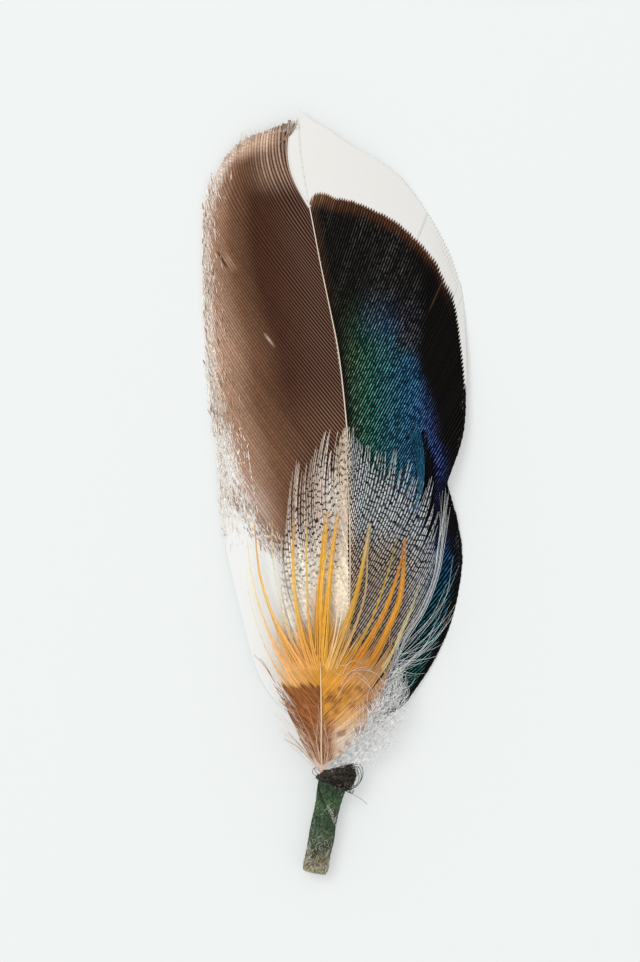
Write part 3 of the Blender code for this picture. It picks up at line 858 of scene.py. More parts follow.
def sheen_material(name):
    """Black keratin whose barbules reflect green to blue: a painted thin broken glint on each
    ridge, over painted shade between the barbs.
    """
    material, tree, shader = new_material(name, 0.5, 0.03)
    body = ridged_colour(tree, 2.0, 0.05, 0.5)
    glint, tip = (
        add(tree, "ShaderNodeAttribute", {"attribute_name": name}) for name in ("glint", "tip")
    )
    # Barbule cells are hundredths of a millimetre long. The beads are as coarse as they show.
    swell, bead = (
        add(
            tree, "ShaderNodeMapRange", {"interpolation_type": "SMOOTHSTEP"},
            {"Value": strand_noise(tree, length), "From Min": low, "From Max": high,
             "To Min": dim, "To Max": bright},
        )
        for length, low, high, dim, bright in (
            (0.8, 0.36, 0.66, 0.12, 1.75), (0.26, 0.56, 0.74, 0.0, 2.2),
        )
    )
    dash = add(tree, "ShaderNodeMath", {"operation": "ADD"}, {0: swell, 1: bead})
    ridge = ridge_shade(tree, 0.4, 1.0, 0.0)
    amount = add(tree, "ShaderNodeMath", {"operation": "MULTIPLY"}, {0: ridge, 1: dash})
    glow = add(
        tree, "ShaderNodeVectorMath", {"operation": "SCALE"}, {0: glint, "Scale": amount}
    )
    dark = add(tree, "ShaderNodeVectorMath", {"operation": "ADD"}, {0: body, 1: glow})
    border = add(tree, "ShaderNodeAttribute", {"attribute_name": "border"}, out="Fac")
    # The dark part of each barb ends in a point, so that the border has a tooth for each.
    tooth = add(
        tree, "ShaderNodeMath", {"operation": "MULTIPLY_ADD"},
        {0: from_ridge(tree), 1: -0.5, 2: border},
    )
    share = add(
        tree, "ShaderNodeMapRange", {"interpolation_type": "SMOOTHSTEP"},
        {"Value": tooth, "From Min": -0.35, "From Max": -0.1},
    )
    colour = add(
        tree, "ShaderNodeMix", {"data_type": "RGBA"}, {0: share, 6: tip, 7: dark}, out=2
    )
    tree.links.new(colour, shader.inputs["Base Color"])
    return material


def barred_material():
    """Keratin barbs crossed by fine dark wavy bars, as on a drake's flank, with a painted highlight
    on each ridge and painted shade beside it.
    """
    material, tree, shader = new_material("Vermiculated keratin vane", 0.6, 0.06)
    body = ridged_colour(tree, 1.4, 0.3, 0.5)
    cycle, bars, broken, narrow = (
        add(tree, "ShaderNodeAttribute", {"attribute_name": name}, out="Fac")
        for name in ("cycle", "bars", "broken", "narrow")
    )
    bar = add(tree, "ShaderNodeAttribute", {"attribute_name": "bar"})
    held = add(
        tree, "ShaderNodeMapRange", {"interpolation_type": "SMOOTHSTEP"},
        {"Value": strand_noise(tree, 0.6, 0.6), "From Min": 0.38, "From Max": 0.5},
    )
    held = add(tree, "ShaderNodeMix", {"data_type": "FLOAT"}, {0: broken, 2: 1.0, 3: held})
    phase = add(
        tree, "ShaderNodeMath", {"operation": "MULTIPLY_ADD"},
        {0: strand_noise(tree, 2.2), 1: 0.5, 2: cycle},
    )
    turn = add(tree, "ShaderNodeMath", {"operation": "MULTIPLY"}, {0: phase, 1: 2 * math.pi})
    crest = add(tree, "ShaderNodeMath", {"operation": "SINE"}, {0: turn})
    peak = add(tree, "ShaderNodeMath", {"operation": "SUBTRACT"}, {0: crest, 1: narrow})
    share = add(
        tree, "ShaderNodeMapRange", {"interpolation_type": "SMOOTHSTEP"},
        {"Value": peak, "From Min": 0.35, "From Max": 0.75},
    )
    for factor in (bars, held):
        share = add(tree, "ShaderNodeMath", {"operation": "MULTIPLY"}, {0: share, 1: factor})
    colour = add(
        tree, "ShaderNodeMix", {"data_type": "RGBA"}, {0: share, 6: body, 7: bar}, out=2
    )
    tree.links.new(colour, shader.inputs["Base Color"])
    return material


def thread_material():
    """Black cotton sewing thread gone brown with age: matt, with the odd pale fibre, and a painted
    highlight along each strand with painted shade at its sides.
    """
    return ridged_material("Black cotton thread", 0.7, 0.2, 1.3, 0.5, 0.3)


def dyed_material():
    """Cock-hackle barbs dyed golden yellow, silky: a painted highlight along each barb and painted
    shade beside it make fine lines run along each lock.
    """
    return ridged_material("Dyed hackle keratin", 0.5, 0.15, 1.25, 0.6, 0.9)


def plain_material(name, colour, roughness, specular=0.2):
    """A material of one colour, for hairs too fine to carry a pattern."""
    material, _, shader = new_material(name, roughness, specular)
    shader.inputs["Base Color"].default_value = (*colour, 1)
    return material


def build_shaft(name, slot, feather, y, height, lift, radii, colour):
    """A feather's round tapering shaft at the places `y`, `lift` over its vane."""
    plan = np.stack([shaft_x(feather, y), y], axis=-1)[None]
    strands(
        name, shaft_material(), slot, raised(plan, height, lift), np.array(radii)[None],
        sides=10, **ROUND, ground=colour[None], relief=0.0, fray=0.0,
    )


def even(colour, like):
    """One colour for every point of an array of values."""
    return np.ones(np.shape(like) + (3,)) * np.array(colour)


def build_brown_vane(colours, sizes):
    """The front feather's left vane: brown, paler and frayed outwards, white at both ends."""
    count = sizes.brown_barbs
    keys = FRONT["left"]
    density = ((-40.0, 1.0), (24.0, 1.0), (30.0, 0.95), (39.0, 0.86), (44.0, 0.62))
    rows = spaced(keys[0][0][1], keys[-1][0][1], count, density)[:, None]
    reach = 1.0 + 0.06 * step(-16.0, 12.0, rows) * step(43.5, 42.0, rows)
    reach = reach - 0.07 * step(-22.0, -27.0, rows)
    barbs = Barbs(
        keys, front_height, count, 38, seed=3, uneven=0.02, reach=reach, density=density
    )
    x, y = barbs.x, barbs.y
    middle = smooth(
        (
            (-40.0, 6.0), (-16.2, -1.0), (-7.2, -5.6), (-1.2, -7.4), (6.3, -9.3),
            (13.8, -11.85), (21.3, -12.3), (28.8, -14.4), (36.3, -15.6), (43.8, -15.3),
            (51.3, -13.6), (57.0, -11.0),
        ),
        y,
    )
    depth = (x - middle) / np.interp(y, (-1.2, 13.8, 28.8, 43.8), (6.0, 5.1, 4.0, 3.2))
    shade = mix(colours.brown, colours.hazel, 0.35 * step(18.0, 8.0, y))
    ground = blend(
        depth, (-2.0, colours.linen), (-1.0, colours.buff), (0.0, colours.hazel), (1.0, (0, 0, 0))
    )
    ground = ground + shade * np.clip(depth, 0, 1)[..., None]
    run = travel(barbs.plan)
    frayed = np.interp(y, (-8.0, 5.0, 15.0, 30.0), (7.0, 3.6, 2.4, 1.7))
    fringe = step(1.0, 0.35, (x - front_edge(y)) / frayed) * step(-9.5, -6.5, y)
    ground = mix(ground, colours.chalk, 0.4 * fringe)
    # Towards the lower left the vane bleaches, from the line where it turns white.
    inward = (x + 16.65) * 0.677 + (y - 0.6) * 0.736
    bleach = 0.2 * step(5.5, 1.0, inward) * step(-8.0, -11.5, x)
    ground = mix(ground, colours.foot, bleach)
    ground = mix(ground, colours.foot, fringe * step(14.0, 3.0, y))
    top = np.interp(x, (-14.1, -11.85, -9.6), (52.65, 53.7, 54.15))
    haze = step(3.8, 1.0, top - y) * step(-7.6, -10.6, x)
    ground = mix(ground, mix(colours.buff, colours.linen, 0.35), 0.9 * haze)
    high = step(43.0, 50.0, y) * step(-13.4, -9.8, x) * step(20.0, 27.0, barbs.root)
    # Near the top, alternate barbs get a painted pale highlight and the barbs between them painted
    # shade.
    number = np.arange(count)[:, None] * 0.5 + 0.25 * (barbs.luck > 0.8)
    barb_highlight = step(0.2, 0.5, np.mod(number, 1.0)) * high
    ground = mix(ground, colours.buff, 0.35 * step(44.0, 48.0, y) * step(-13.5, -10.0, x))
    ground = mix(ground, colours.linen, 0.13 * barb_highlight)
    ground = ground * (1 - 0.16 * high * (1 - barb_highlight))[..., None]
    # The lowest brown barbs turn white one by one, each at its own place.
    tip = step(42.0, 43.0, barbs.root)
    late = barbs.root + 1.7 * (barbs.luck - 0.5) + 0.12 * (x + 8.0)
    foot = step(-21.0, -23.2, late)
    pale = np.clip(tip + foot, 0, 1)
    ground = mix(ground, mix(colours.foot, colours.white, step(0, 20, y)), pale)
    ends = step(0.93, 1.0, barbs.along)
    ground = mix(ground, colours.linen, 0.5 * ends * (1 - pale) * step(50.0, 46.0, y))
    barbs.sway(0.05, 2.5, fringe * step(0.5, 0.9, barbs.along))
    tone = 1 + (barbs.luck - 0.5) * (0.2 + 0.3 * fringe) * (1 - pale)
    # A slit in the vane: its barb sinks, narrows and is painted dark, painted shadow in the slit; a
    # few barbs beside it are paler.
    slit = barbs.spot(-16.9, 34.8, 1.5)
    patch = barbs.spot(-15.9, 34.6, 1.2, 4) * (1 - slit)
    chip = barbs.spot(-9.75, 22.6, 0.65)
    ground = mix(ground * tone[..., None], colours.brown, 0.85 * slit)
    ground = mix(mix(ground, colours.buff, 0.35 * patch), colours.linen, 0.5 * chip)
    barbs.lift = 0.15 * chip - 0.12 * slit
    half = barbs.spacing() * 0.5 * (1.2 + 0.6 * pale)
    half = half * (1 + 0.3 * step(0.75, 0.9, barbs.along) * (1 - pale))
    half = half * (1 - 0.25 * ends * (1 - tip) * (1 - foot)) * (1 - 0.3 * slit)
    half = np.clip(half, 0.025, np.interp(barbs.root, (38.0, 41.0), (0.46, 0.75)))
    far = step(3.0, 18.0, run) * (1 - 0.5 * high)
    relief = (1 - (0.75 + 0.1 * step(24.0, 12.0, y)) * far) * (1 - 0.6 * fringe) * (1 - pale)
    fray = (0.35 * step(3.0, 10.0, run) + 0.4 * fringe) * (1 - pale)
    fray = fray * step(-6, 8, y + 4 * (1 - fringe))
    places, up = barbs.surface()
    material = vane_material()
    white = barbs.root[:, 0] < -24.2
    for name, kept, ridge in (
        ("front_brown_vane", ~white, 0.45 * sizes.ridge), ("front_white_foot", white, 0.06),
    ):
        piece = strands(
            name, material, "speculum_front", places[kept], half[kept], up[kept],
            ridge=ridge, ground=ground[kept], relief=relief[kept], fray=fray[kept],
        )
        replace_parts(piece, "speculum_feather_front")


def front_edge(y):
    """The left edge of the front feather's frayed vane."""
    return smooth(
        (
            (-12.0, -16.5), (-3.0, -17.3), (4.5, -17.6), (12.0, -18.3), (21.5, -19.2),
            (28.5, -19.5), (34.5, -19.7), (39.5, -19.7), (43.8, -19.1), (48.6, -17.2),
            (51.4, -15.0), (54.0, -11.0), (57.0, -7.0),
        ),
        y,
    )


def build_fringe(colours):
    """Broken barb ends along the brown vane's frayed edge, and where it turns white below."""
    chance = np.random.default_rng(63)
    lines, shades, widths = [], [], []
    for zone in ["frayed"] * 620 + ["bleached"] * 830 + ["slanted"] * 600:
        if zone == "frayed":
            y = chance.uniform(8.0, 47.0)
            deepest = np.interp(y, (8, 20, 40), (5.2, 4.2, 3.0))
            depth = deepest * chance.uniform(0, 1) ** 2.2 - 0.25
            x = front_edge(y) + depth
            pale, dusk = 0.86 - 0.16 * depth, (-0.5, 0.5)
        elif zone == "bleached":
            y = 19.0 * chance.beta(2.0, 1.4) - 9.0
            spread = np.interp(y, (-8, 10), (4.5, 3.0))
            x = front_edge(y) + 0.1 + min(chance.exponential(0.4), 1.4) * spread
            pale, dusk = 0.95, (-0.3, 0.7)
        else:
            k = chance.uniform(0, 1)
            x = -15.9 + 8.8 * k + chance.normal(0, 0.8)
            y = 0.3 - 10.6 * k + chance.normal(0, 0.9)
            pale, dusk = 0.42, (-0.7, 0.4)
        way = heading(chance.normal(112 if zone == "slanted" else 101, 10))
        start = np.array((x, y))
        end = start + way * chance.uniform(*((0.5, 1.5) if zone == "frayed" else (0.3, 1.0)))
        lines.append((start, (start + end) / 2 + chance.uniform(-0.08, 0.08, 2), end))
        near, far = colours.buff, colours.hazel
        if chance.uniform() < pale:
            near, far = colours.chalk, colours.linen
            warmth = chance.uniform(*((-0.1, 0.6) if zone == "frayed" else (-0.2, 0.25)))
            share = warmth + 0.16 * depth if zone == "frayed" else warmth
        else:
            if zone == "bleached":
                near, far = colours.linen, colours.buff
            share = chance.uniform(*dusk)
        shades.append(mix(near, far, share))
        if zone == "frayed":
            widths.append(chance.uniform(0.05, 0.09) * (1 - 0.13 * depth))
        else:
            widths.append(chance.uniform(0.03, 0.06))
    plan = paths(lines, 5)
    plan[..., 0] = np.maximum(plan[..., 0], -19.75)
    places = raised(plan, front_height, chance.uniform(0.12, 0.3, (len(lines), 1)))
    half = np.array((0.5, 1.0, 1.0, 0.8, 0.35)) * np.array(widths)[:, None]
    strands(
        "front_fringe", shaft_material(), "speculum_front", places, half, sides=4, ridge=0.6,
        underside=0.4, ground=np.array(shades)[:, None], relief=0.0, fray=0.3,
    )


def sheen_hues(colours, hue):
    """The dark tint and the paler glint of the sheen, from green near the shaft to violet."""
    stops = ((0.0, "green"), (0.35, "jade"), (0.6, "teal"), (0.95, "blue"), (1.3, "violet"))
    tint, glint = (
        blend(hue, *[(at, getattr(colours, prefix + name)) for at, name in stops])
        for prefix in ("dark_", "")
    )
    return 0.62 * tint, glint


def build_dark_vane(colours, sizes):
    """The front feather's right vane: black with a green to violet sheen, and a white tip."""
    barbs = Barbs(FRONT["right"], front_height, sizes.dark_barbs, 40, seed=5, uneven=0.004)
    space = barbs.spacing()
    barbs.hem(barbs.y[:, -1] < 31.0)
    x, y = barbs.x, barbs.y
    border_line = (
        (-6.0, 41.5), (-4.0, 42.4), (-3.2, 44.3), (-1.65, 44.8), (0.15, 44.1), (2.4, 43.7),
        (4.2, 43.05), (6.15, 42.2), (7.65, 41.45), (9.15, 40.7), (10.65, 39.5), (12.15, 38.1),
        (13.65, 36.6), (14.7, 35.25), (15.6, 33.9), (16.65, 31.5), (17.4, 30.3),
        (18.15, 28.8), (18.45, 27.3), (18.75, 25.8), (19.2, 20.0), (20.5, 10.0),
    )
    border = (smooth(border_line, x) - y) * np.interp(x, (5, 14, 18), (0.95, 0.6, 0.3))
    border = border + barbs.chance.uniform(-0.07, 0.07, (len(x), 1))
    # The sheen lies between the shaft and this line, past which the vane is black.
    outer = smooth(
        (
            (-10.0, 17.7), (5.5, 17.7), (8.5, 16.5), (11.5, 16.0), (14.5, 15.2), (17.5, 14.0),
            (20.5, 13.4), (23.5, 13.9), (26.5, 14.2), (29.5, 14.2), (36.0, 13.2),
        ),
        y,
    )
    aside = x - shaft_x(FRONT, y)
    inside = step(0.0, -2.4, x - outer) * step(0.1, 1.8, aside)
    hue = (x - 1.65) / 10.5 + 0.4 * step(20.5, 26.5, y) * step(2.0, 5.0, x)
    tint, glint = sheen_hues(colours, hue)
    plain = 0.85 * step(8.0, 10.5, x) * step(19.0, 22.5, y)
    ashen = np.maximum(np.interp(y, (18.0, 22.0, 30.0), (0.1, 0.35, 1.0)), plain)
    glint = mix(glint, colours.ash, ashen)
    tinted = inside * np.interp(y, (21.0, 24.5, 28.0, 32.0), (1.0, 0.8, 0.3, 0.0))
    tinted = tinted * (1 - plain)
    shining = inside * np.interp(y, (22.0, 25.0, 28.0, 31.0), (0.85, 0.72, 0.45, 0.28))
    shining = shining * (1 - 0.55 * step(19.0, 23.5, y) * step(6.5, 2.0, x))
    shining = shining * step(0.3, 2.0, border) * (1 - 0.3 * plain)
    # Under the notch the lowest outer barbs are black.
    shade = step(3.6, 1.2, y) * step(13.6, 14.8, x)
    shining = shining * (1 - 0.8 * shade)
    tinted = tinted * (1 - 0.7 * shade)
    # Towards the tip only some runs of barbs still glint.
    number = np.arange(len(x))[:, None]
    streaks = step(-0.2, 0.9, np.sin(0.41 * number) + np.sin(0.93 * number))
    shining = shining * (1 + step(22.0, 28.0, y) * (0.8 * streaks - 0.35))
    # The vane is parted between these two lines, and sinks there.
    gap_left = smooth(
        (
            (-6.0, 13.4), (0.45, 13.2), (2.85, 13.1), (4.2, 13.5), (7.65, 13.3), (9.3, 13.0),
            (11.5, 12.4),
        ),
        y,
    )
    gap_right = smooth(
        (
            (-6.0, 15.0), (2.25, 15.1), (3.45, 15.25), (5.4, 14.85), (7.35, 14.1), (9.3, 13.2),
            (11.5, 12.4),
        ),
        y,
    )
    gap = step(-0.1, 0.15, x - gap_left) * step(0.1, -0.15, x - gap_right) * step(11.6, 11.0, y)
    barbs.lift = -0.5 * gap
    # Painted shadow: in the parting the barbs lose their tint and glint and stay black, and so do a
    # few barbs at (11.3, 9.0).
    kept = (1 - gap) * (1 - barbs.spot(11.3, 9.0, 1.5))
    rim = step(1.0, 0.1, border / np.interp(x, (3, 14), (2.7, 1.3)))
    rim = rim * step(19.5, 13.5, x + 0.25 * (30.0 - y) * (y < 30.0))
    rim = rim + 0.22 * step(1.8, 0.2, aside) * step(22.0, 36.0, y)
    rim_shade = mix(colours.umber, colours.hazel, 0.6 * step(2.0, -3.0, x))
    ground = mix(colours.black, tint, tinted * kept)
    ground = mix(ground, rim_shade, np.clip(rim, 0, 1))
    ground = mix(ground, colours.hazel, 0.12 * barbs.spot(15.3, 30.0, 2.6))
    tone = 1 + (barbs.luck - 0.5) * 0.5
    tip = mix(colours.white, colours.ash, 0.06 * step(12.5, 17.5, x))
    tip = mix(tip, colours.ash, 0.16 * barbs.spot(13.3, 40.2, 2.4))
    white = step(0.2, -0.4, border)
    half = np.clip(space * 0.5 * (1.12 + 0.45 * white), 0.03, 0.36)
    half = half * (1 - 0.5 * step(0.94, 1.0, barbs.along) * (1 - white))
    places, up = barbs.surface()
    strands(
        "front_dark_vane", sheen_material("Structural sheen keratin vane"), "speculum_front",
        places, half, up, ridge=0.16, ground=ground * tone[..., None],
        glint=glint * (shining * kept)[..., None], border=border, tip=tip, relief=1.0, fray=0.3,
    )


def build_parted_barbs(colours, sizes):
    """Blue barbs that have come unhooked and stand in a column beside the parting, which is painted
    black as shadow.
    """
    shares = np.linspace(0, 1, 8)
    plan = paths(
        [
            (
                (11.8 + 0.2 * k, -3.6 + 0.8 * k), (12.5 + 0.7 * k, 0.0), (12.4 + 1.1 * k, 3.6),
                (11.6 + 1.6 * k, 7.4), (10.8 + 1.6 * k, 9.6 + 1.3 * k),
            )
            for k in shares
        ],
        20,
    )
    y = plan[..., 1]
    share = np.linspace(0, 1, 20)
    arch = 0.26 * np.sin(math.pi * (0.15 + 0.85 * share)) + 0.04
    tint, glint = sheen_hues(colours, 0.8 + 0.1 * shares[:, None] * np.ones_like(y))
    glow = 0.5 + 0.9 * step(8.0, 10.5, y) + 0.6 * step(2.0, -2.0, y)
    strands(
        "front_parted_barbs", sheen_material("Loose structural sheen barbs"), "speculum_front",
        raised(plan, front_height, arch), 0.1 * (1 - 0.7 * step(0.8, 1.0, share)),
        ridge=sizes.ridge, ground=tint * 1.3, glint=glint * glow[..., None], border=1.0,
        tip=tint, relief=1.0, fray=0.3,
    )


def build_front_shaft(colours):
    """The front feather's thick pale shaft, which thins out in its white tip."""
    y = np.linspace(-42.0, 56.0, 80)
    build_shaft(
        "front_shaft", "speculum_front", FRONT, y, front_height,
        np.interp(y, (30.0, 46.0), (0.16, 0.07)),
        np.interp(np.linspace(0, 1, 80), (0.0, 0.7, 1.0), (0.16, 0.083, 0.07)),
        blend(y, (-20.0, colours.cream), (36.0, colours.cream), (44.0, colours.white)),
    )


def build_tufts(colours):
    """Loose hairs at the front feather's tip: a few brown, most of them white and faint."""
    chance = np.random.default_rng(61)
    lines, shades, widths = [], [], []
    for i in range(14):
        start = np.array((-8.1 + 0.09 * i, 52.4 + 0.06 * i)) + chance.uniform(-0.2, 0.2, 2)
        end = np.array((-6.0, 55.4)) + chance.uniform((-0.7, -0.9), (0.5, 0.5))
        lines.append((start, (start + end) / 2 + np.array((0.1, -0.2)), end))
        shades.append(mix(colours.hazel, colours.linen, 0.7 * (i % 3 == 0)))
        widths.append(0.06)
    for i in range(60):
        k = i / 59
        start = np.array((-14.6 + 9.4 * k, 51.6 + 2.9 * math.sqrt(k)))
        end = start + heading(chance.uniform(60, 130)) * chance.uniform(0.5, 1.9)
        lines.append((start, (start + end) / 2 + chance.uniform(-0.2, 0.2, 2), end))
        shades.append(np.array(colours.linen if i % 3 else colours.foot))
        widths.append(0.032)
    places = raised(paths(lines, 8), lambda x, y: front_height(x, np.minimum(y, 56.0)), 0.1)
    strands(
        "front_tip_hairs", shaft_material(), "speculum_front", places,
        np.linspace(1.0, 0.4, 8) * np.array(widths)[:, None], sides=4, ridge=0.8,
        underside=0.8, ground=np.array(shades)[:, None], relief=0.0, fray=0.0,
    )


def build_rear(colours, sizes):
    """The rear feather: a second one of the same kind, black outside, teal to blue inside."""
    material = sheen_material("Structural sheen keratin, rear")
    right = Barbs(REAR["right"], rear_height, sizes.rear_barbs, 32, seed=7)
    half = np.clip(right.spacing() * 0.5 * 1.12, 0.03, 0.34)
    half = half * (1 - 0.5 * step(0.94, 1.0, right.along))
    right.hem()
    x, y = right.x, right.y
    inner = step(1.6, 3.4, (1 - right.along) * travel(right.plan)[:, -1:])
    strength = inner * step(0.3, 2.0, x - shaft_x(REAR, y)) * (1 - 0.75 * step(-9.0, -5.5, y))
    hue = np.interp(y, (-30.0, -18.0, -12.0, -8.0), (0.4, 0.6, 0.9, 1.2))
    tint, glint = sheen_hues(colours, hue)
    places, up = right.surface()
    piece = strands(
        "rear_dark_vane", material, "speculum_back", places, half, up, ridge=sizes.ridge,
        ground=mix(colours.black, tint, strength), glint=glint * (0.5 * strength)[..., None],
        border=1.0, tip=tint, relief=1.0, fray=0.25,
    )
    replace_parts(piece, "speculum_feather_back")
    left = Barbs(REAR["left"], rear_height, 60, 20, seed=8)
    places, up = left.surface()
    shade = even(colours.umber, left.x)
    strands(
        "rear_inner_vane", material, "speculum_back", places,
        np.clip(left.spacing() * 0.56, 0.03, 0.34), up, ridge=sizes.ridge, ground=shade,
        glint=shade * 0, border=1.0, tip=shade, relief=1.0, fray=0.25,
    )
    y = np.linspace(-42.0, 7.6, 50)
    build_shaft(
        "rear_shaft", "speculum_back", REAR, y, rear_height, 0.1, np.linspace(0.3, 0.1, 50),
        even(colours.cream, y),
    )


def build_flank_side(side, first, colours, sizes, seed):
    """One half of the flank feather: the cream left one or the grey right one."""
    left = side == "left"
    count = round(sizes.flank_barbs * (1.12 if left else 1.0))
    chance = np.random.default_rng(seed + 30)
    middle, lock = locks(chance, count, 2, 5)
    reach = chance.uniform(0.89, 1.02, count)[lock][:, None]
    if not left:
        # Its lowest barbs end unevenly, beside the loose bundle that runs up there.
        lowest = np.linspace(1, 0, count)[:, None] > 0.62
        reach = reach - lowest * chance.uniform(0.0, 0.14, (count, 1))
    barbs = Barbs(
        FLANK[side], flank_height, count, 46, seed=seed, uneven=0.07, first=first, reach=reach,
        density=((-20.0, 1.2), (0.0, 0.85 if left else 0.7)),
    )
    pull = chance.uniform(0.15, 0.75, count)[lock][:, None]
    split = chance.uniform(0.58, 0.78, count)[lock][:, None]
    barbs.bunch(middle, pull * step(split, 1.0, barbs.along))
    barbs.sway(0.08, 1.5, step(0.3, 1.0, barbs.along))
    x, y = barbs.x, barbs.y
    spacing = barbs.spacing()
    number = np.arange(count)[:, None]
    aside = np.abs(x - shaft_x(FLANK, y))
    run = travel(barbs.plan)
    left_over = run[:, -1:] - run
    if left:
        ground = 0.95 * mix(colours.cream, colours.ivory, step(0.5, 3.0, aside))
        low = step(-6.0, -12.5, y - 0.25 * (aside - 3.0))
        ground = mix(ground, colours.buff, 0.4 * step(3.0, 4.6, aside) * step(-8.0, -2.0, y))
        ground = mix(ground, colours.vanilla, low)
        ground = mix(ground, colours.foot, 0.45 * low * step(2.0, 4.5, aside))
        band = step(2.0, 0.8, aside) * step(3.0, -3.0, y)
        wide = spacing * (0.6 + 0.05 * band)
        # The dots of neighbouring barbs join up into wavy lines.
        wave = 0.22 * np.sin(5.2 * x + 1.9 * np.sin(0.9 * y)) + 0.2 * np.sin(1.1 * y + 2.1 * x)
        jitter = chance.uniform(-0.12, 0.12, (count, 1)) + 0.12 * (number % 2)
        cycle = (y - 0.25 * x) / (sizes.dot_step / MM) + wave + jitter
        bars = step(-17.5, -10.0, y - 0.35 * (4.0 - aside)) * (1 - 0.8 * band)
        bars = bars * (1 - 0.55 * step(5.0, 2.0, left_over) * step(1.5, 3.5, aside))
        bars = bars * (0.95 + 0.2 * np.sin(3.1 * x + 2.3 * y)) * (1 - 0.35 * step(-5.0, -11.0, y))
        bar, relief = mix(colours.umber, colours.black, 0.3), 0.42 * (1 - low)
        outer = 0.6 * step(3.2, 4.8, aside) * step(0.35, 0.62, barbs.along) * (1 - low)
    else:
        ground = mix(colours.cream, colours.silver, step(0.0, 1.2, aside))
        tan = step(-4.0, -10.0, y) * step(12.5, 6.0, aside)
        ground = mix(ground, colours.tan, 0.45 * tan) * (1 - 0.1 * tan)[..., None]
        wide = spacing * 0.4
        # The bars are staggered from barb to barb, and longer towards the tips.
        wave = 0.26 * np.sin(1.7 * x + 1.2 * np.sin(1.4 * y)) + 0.14 * np.sin(2.9 * y - 1.3 * x)
        wave = wave - 1.7 * np.exp(-left_over / 3.0)
        jitter = barbs.chance.uniform(-0.1, 0.1, (count, 1))
        cycle = run / (sizes.dash_step / MM) + jitter + 0.5 * number + wave
        bars = (0.85 + 0.15 * np.sin(2.1 * x - 1.7 * y)) * step(-30.0, -22.0, y)
        bars = bars * (1 - 0.45 * step(-10.0, -16.0, y))
        bar, relief, outer = colours.slate, 0.95, 0.0
    # Towards its end each barb parts from its neighbours and thins to a hair.
    outer = np.clip(outer + step(0.7, 0.86, barbs.along), 0, 1)
    fine = np.minimum(spacing * 0.42, 0.085) * (0.8 + 0.4 * barbs.luck)
    half = wide * (1 - outer) + fine * outer
    half = np.clip(half * (1 - 0.6 * step(0.9, 1.0, barbs.along)), 0.03, 0.3)
    bars = bars * (1 - 0.6 * step(0.9, 0.98, barbs.along))
    tone = 1 + (barbs.luck - 0.5) * 0.35
    places, up = barbs.surface()
    return strands(
        "flank_" + side + "_vane", bpy.data.materials["Vermiculated keratin vane"], "flank",
        places, half, up, ridge=sizes.ridge, ground=ground * tone[..., None],
        bar=even(bar, x), bars=np.clip(bars, 0, 1), cycle=cycle, relief=relief, fray=0.4,
        narrow=0.02 if left else 0.0, broken=0.7 if left else 0.15,
    )


def build_flank(colours, sizes):
    """The flank feather: cream and grey barbs crossed by fine dark wavy lines."""
    barred_material()
    piece = build_flank_side("left", -36.5, colours, sizes, 11)
    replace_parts(piece, "flank_feather")
    build_flank_side("right", -33.6, colours, sizes, 12)
    y = np.linspace(-42.5, 6.5, 50)
    build_shaft(
        "flank_shaft", "flank", FLANK, y, flank_height, 0.1, np.linspace(0.2, 0.05, 50),
        even(colours.cream, y),
    )


def build_loose_barbs(colours):
    """Long flank barbs that run up the right edge in a bundle or fan over the rear feather."""
    chance = np.random.default_rng(41)
    lines, widths, shades = [], [], []

    def grow_barb(line, thin, thick, dull, bright):
        lines.append(line)
        widths.append(chance.uniform(thin, thick))
        shades.append(mix(colours.silver, colours.down, chance.uniform(dull, bright)))

    for i in range(18):
        k = i / 17
        start = (8.2 + 1.6 * k, -27.5 + 3.0 * k)
        end = (16.4 + chance.uniform(-1.4, 0.9), chance.uniform(-4.2, 0.8))
        bulge = chance.uniform(-1.1, 0.5)
        if i % 3 == 1:
            end = (end[0] + 1.0, end[1] - 0.8)
            bulge = 0.3 + 0.7 * abs(bulge)
        line = (
            start, (10.4 + 0.6 * bulge, -22.2), (13.3 + 0.45 * bulge, -17.7),
            (15.3 + 0.4 * bulge, -12.6), (16.1 + 0.5 * bulge, -7.9), end,
        )
        grow_barb(line, 0.024, 0.044, 0.0, 1.0)
    ends = (
        (18.8, -11.0), (19.8, -13.6), (19.2, -15.6), (17.6, -16.4), (17.9, -18.6), (16.8, -19.4),
        (17.9, -21.4), (15.8, -22.4), (16.6, -24.2), (14.2, -25.2), (13.6, -27.2), (12.6, -27.6),
        (17.9, -9.6), (16.2, -17.0), (14.9, -20.4), (13.9, -22.8), (15.4, -19.0), (17.0, -13.6),
        (16.0, -20.9), (14.6, -24.0), (18.2, -16.9), (13.2, -25.4), (12.2, -26.0), (16.9, -16.0),
    )
    for end in ends:
        start = np.array((8.6, -25.6)) + chance.uniform((-0.4, -2.4), (1.0, 1.6))
        leg = np.array(end) - start
        side = right_of(leg) * chance.uniform(0.04, 0.12)
        line = (start, start + leg * 0.3 + side * 0.7, start + leg * 0.65 + side, end)
        grow_barb(line, 0.018, 0.032, 0.3, 1.0)
    for i in range(190):
        start = np.array((8.2, -31.6)) + chance.uniform((-0.8, -0.9), (1.9, 4.6))
        way = heading(chance.uniform(25, 105))
        leg = chance.uniform(0.9, 3.0) * way
        side = right_of(leg) * chance.uniform(-0.2, 0.3)
        line = (start, start + leg * 0.3 + side * 0.7, start + leg * 0.65 + side, start + leg)
        grow_barb(line, 0.016, 0.03, 0.4, 1.2)
    places = raised(
        paths(lines, 22), flank_height, chance.uniform(-0.1, 0.4, (len(lines), 1))
    )
    places[..., 2] = np.maximum(places[..., 2], 0.8)
    strands(
        "flank_loose_barbs", shaft_material(), "flank", places,
        np.array(widths)[:, None] * (1 - 0.7 * np.linspace(0, 1, 22) ** 3), sides=6, ridge=0.7,
        underside=0.5, ground=np.array(shades)[:, None], relief=0.0, fray=0.4,
    )


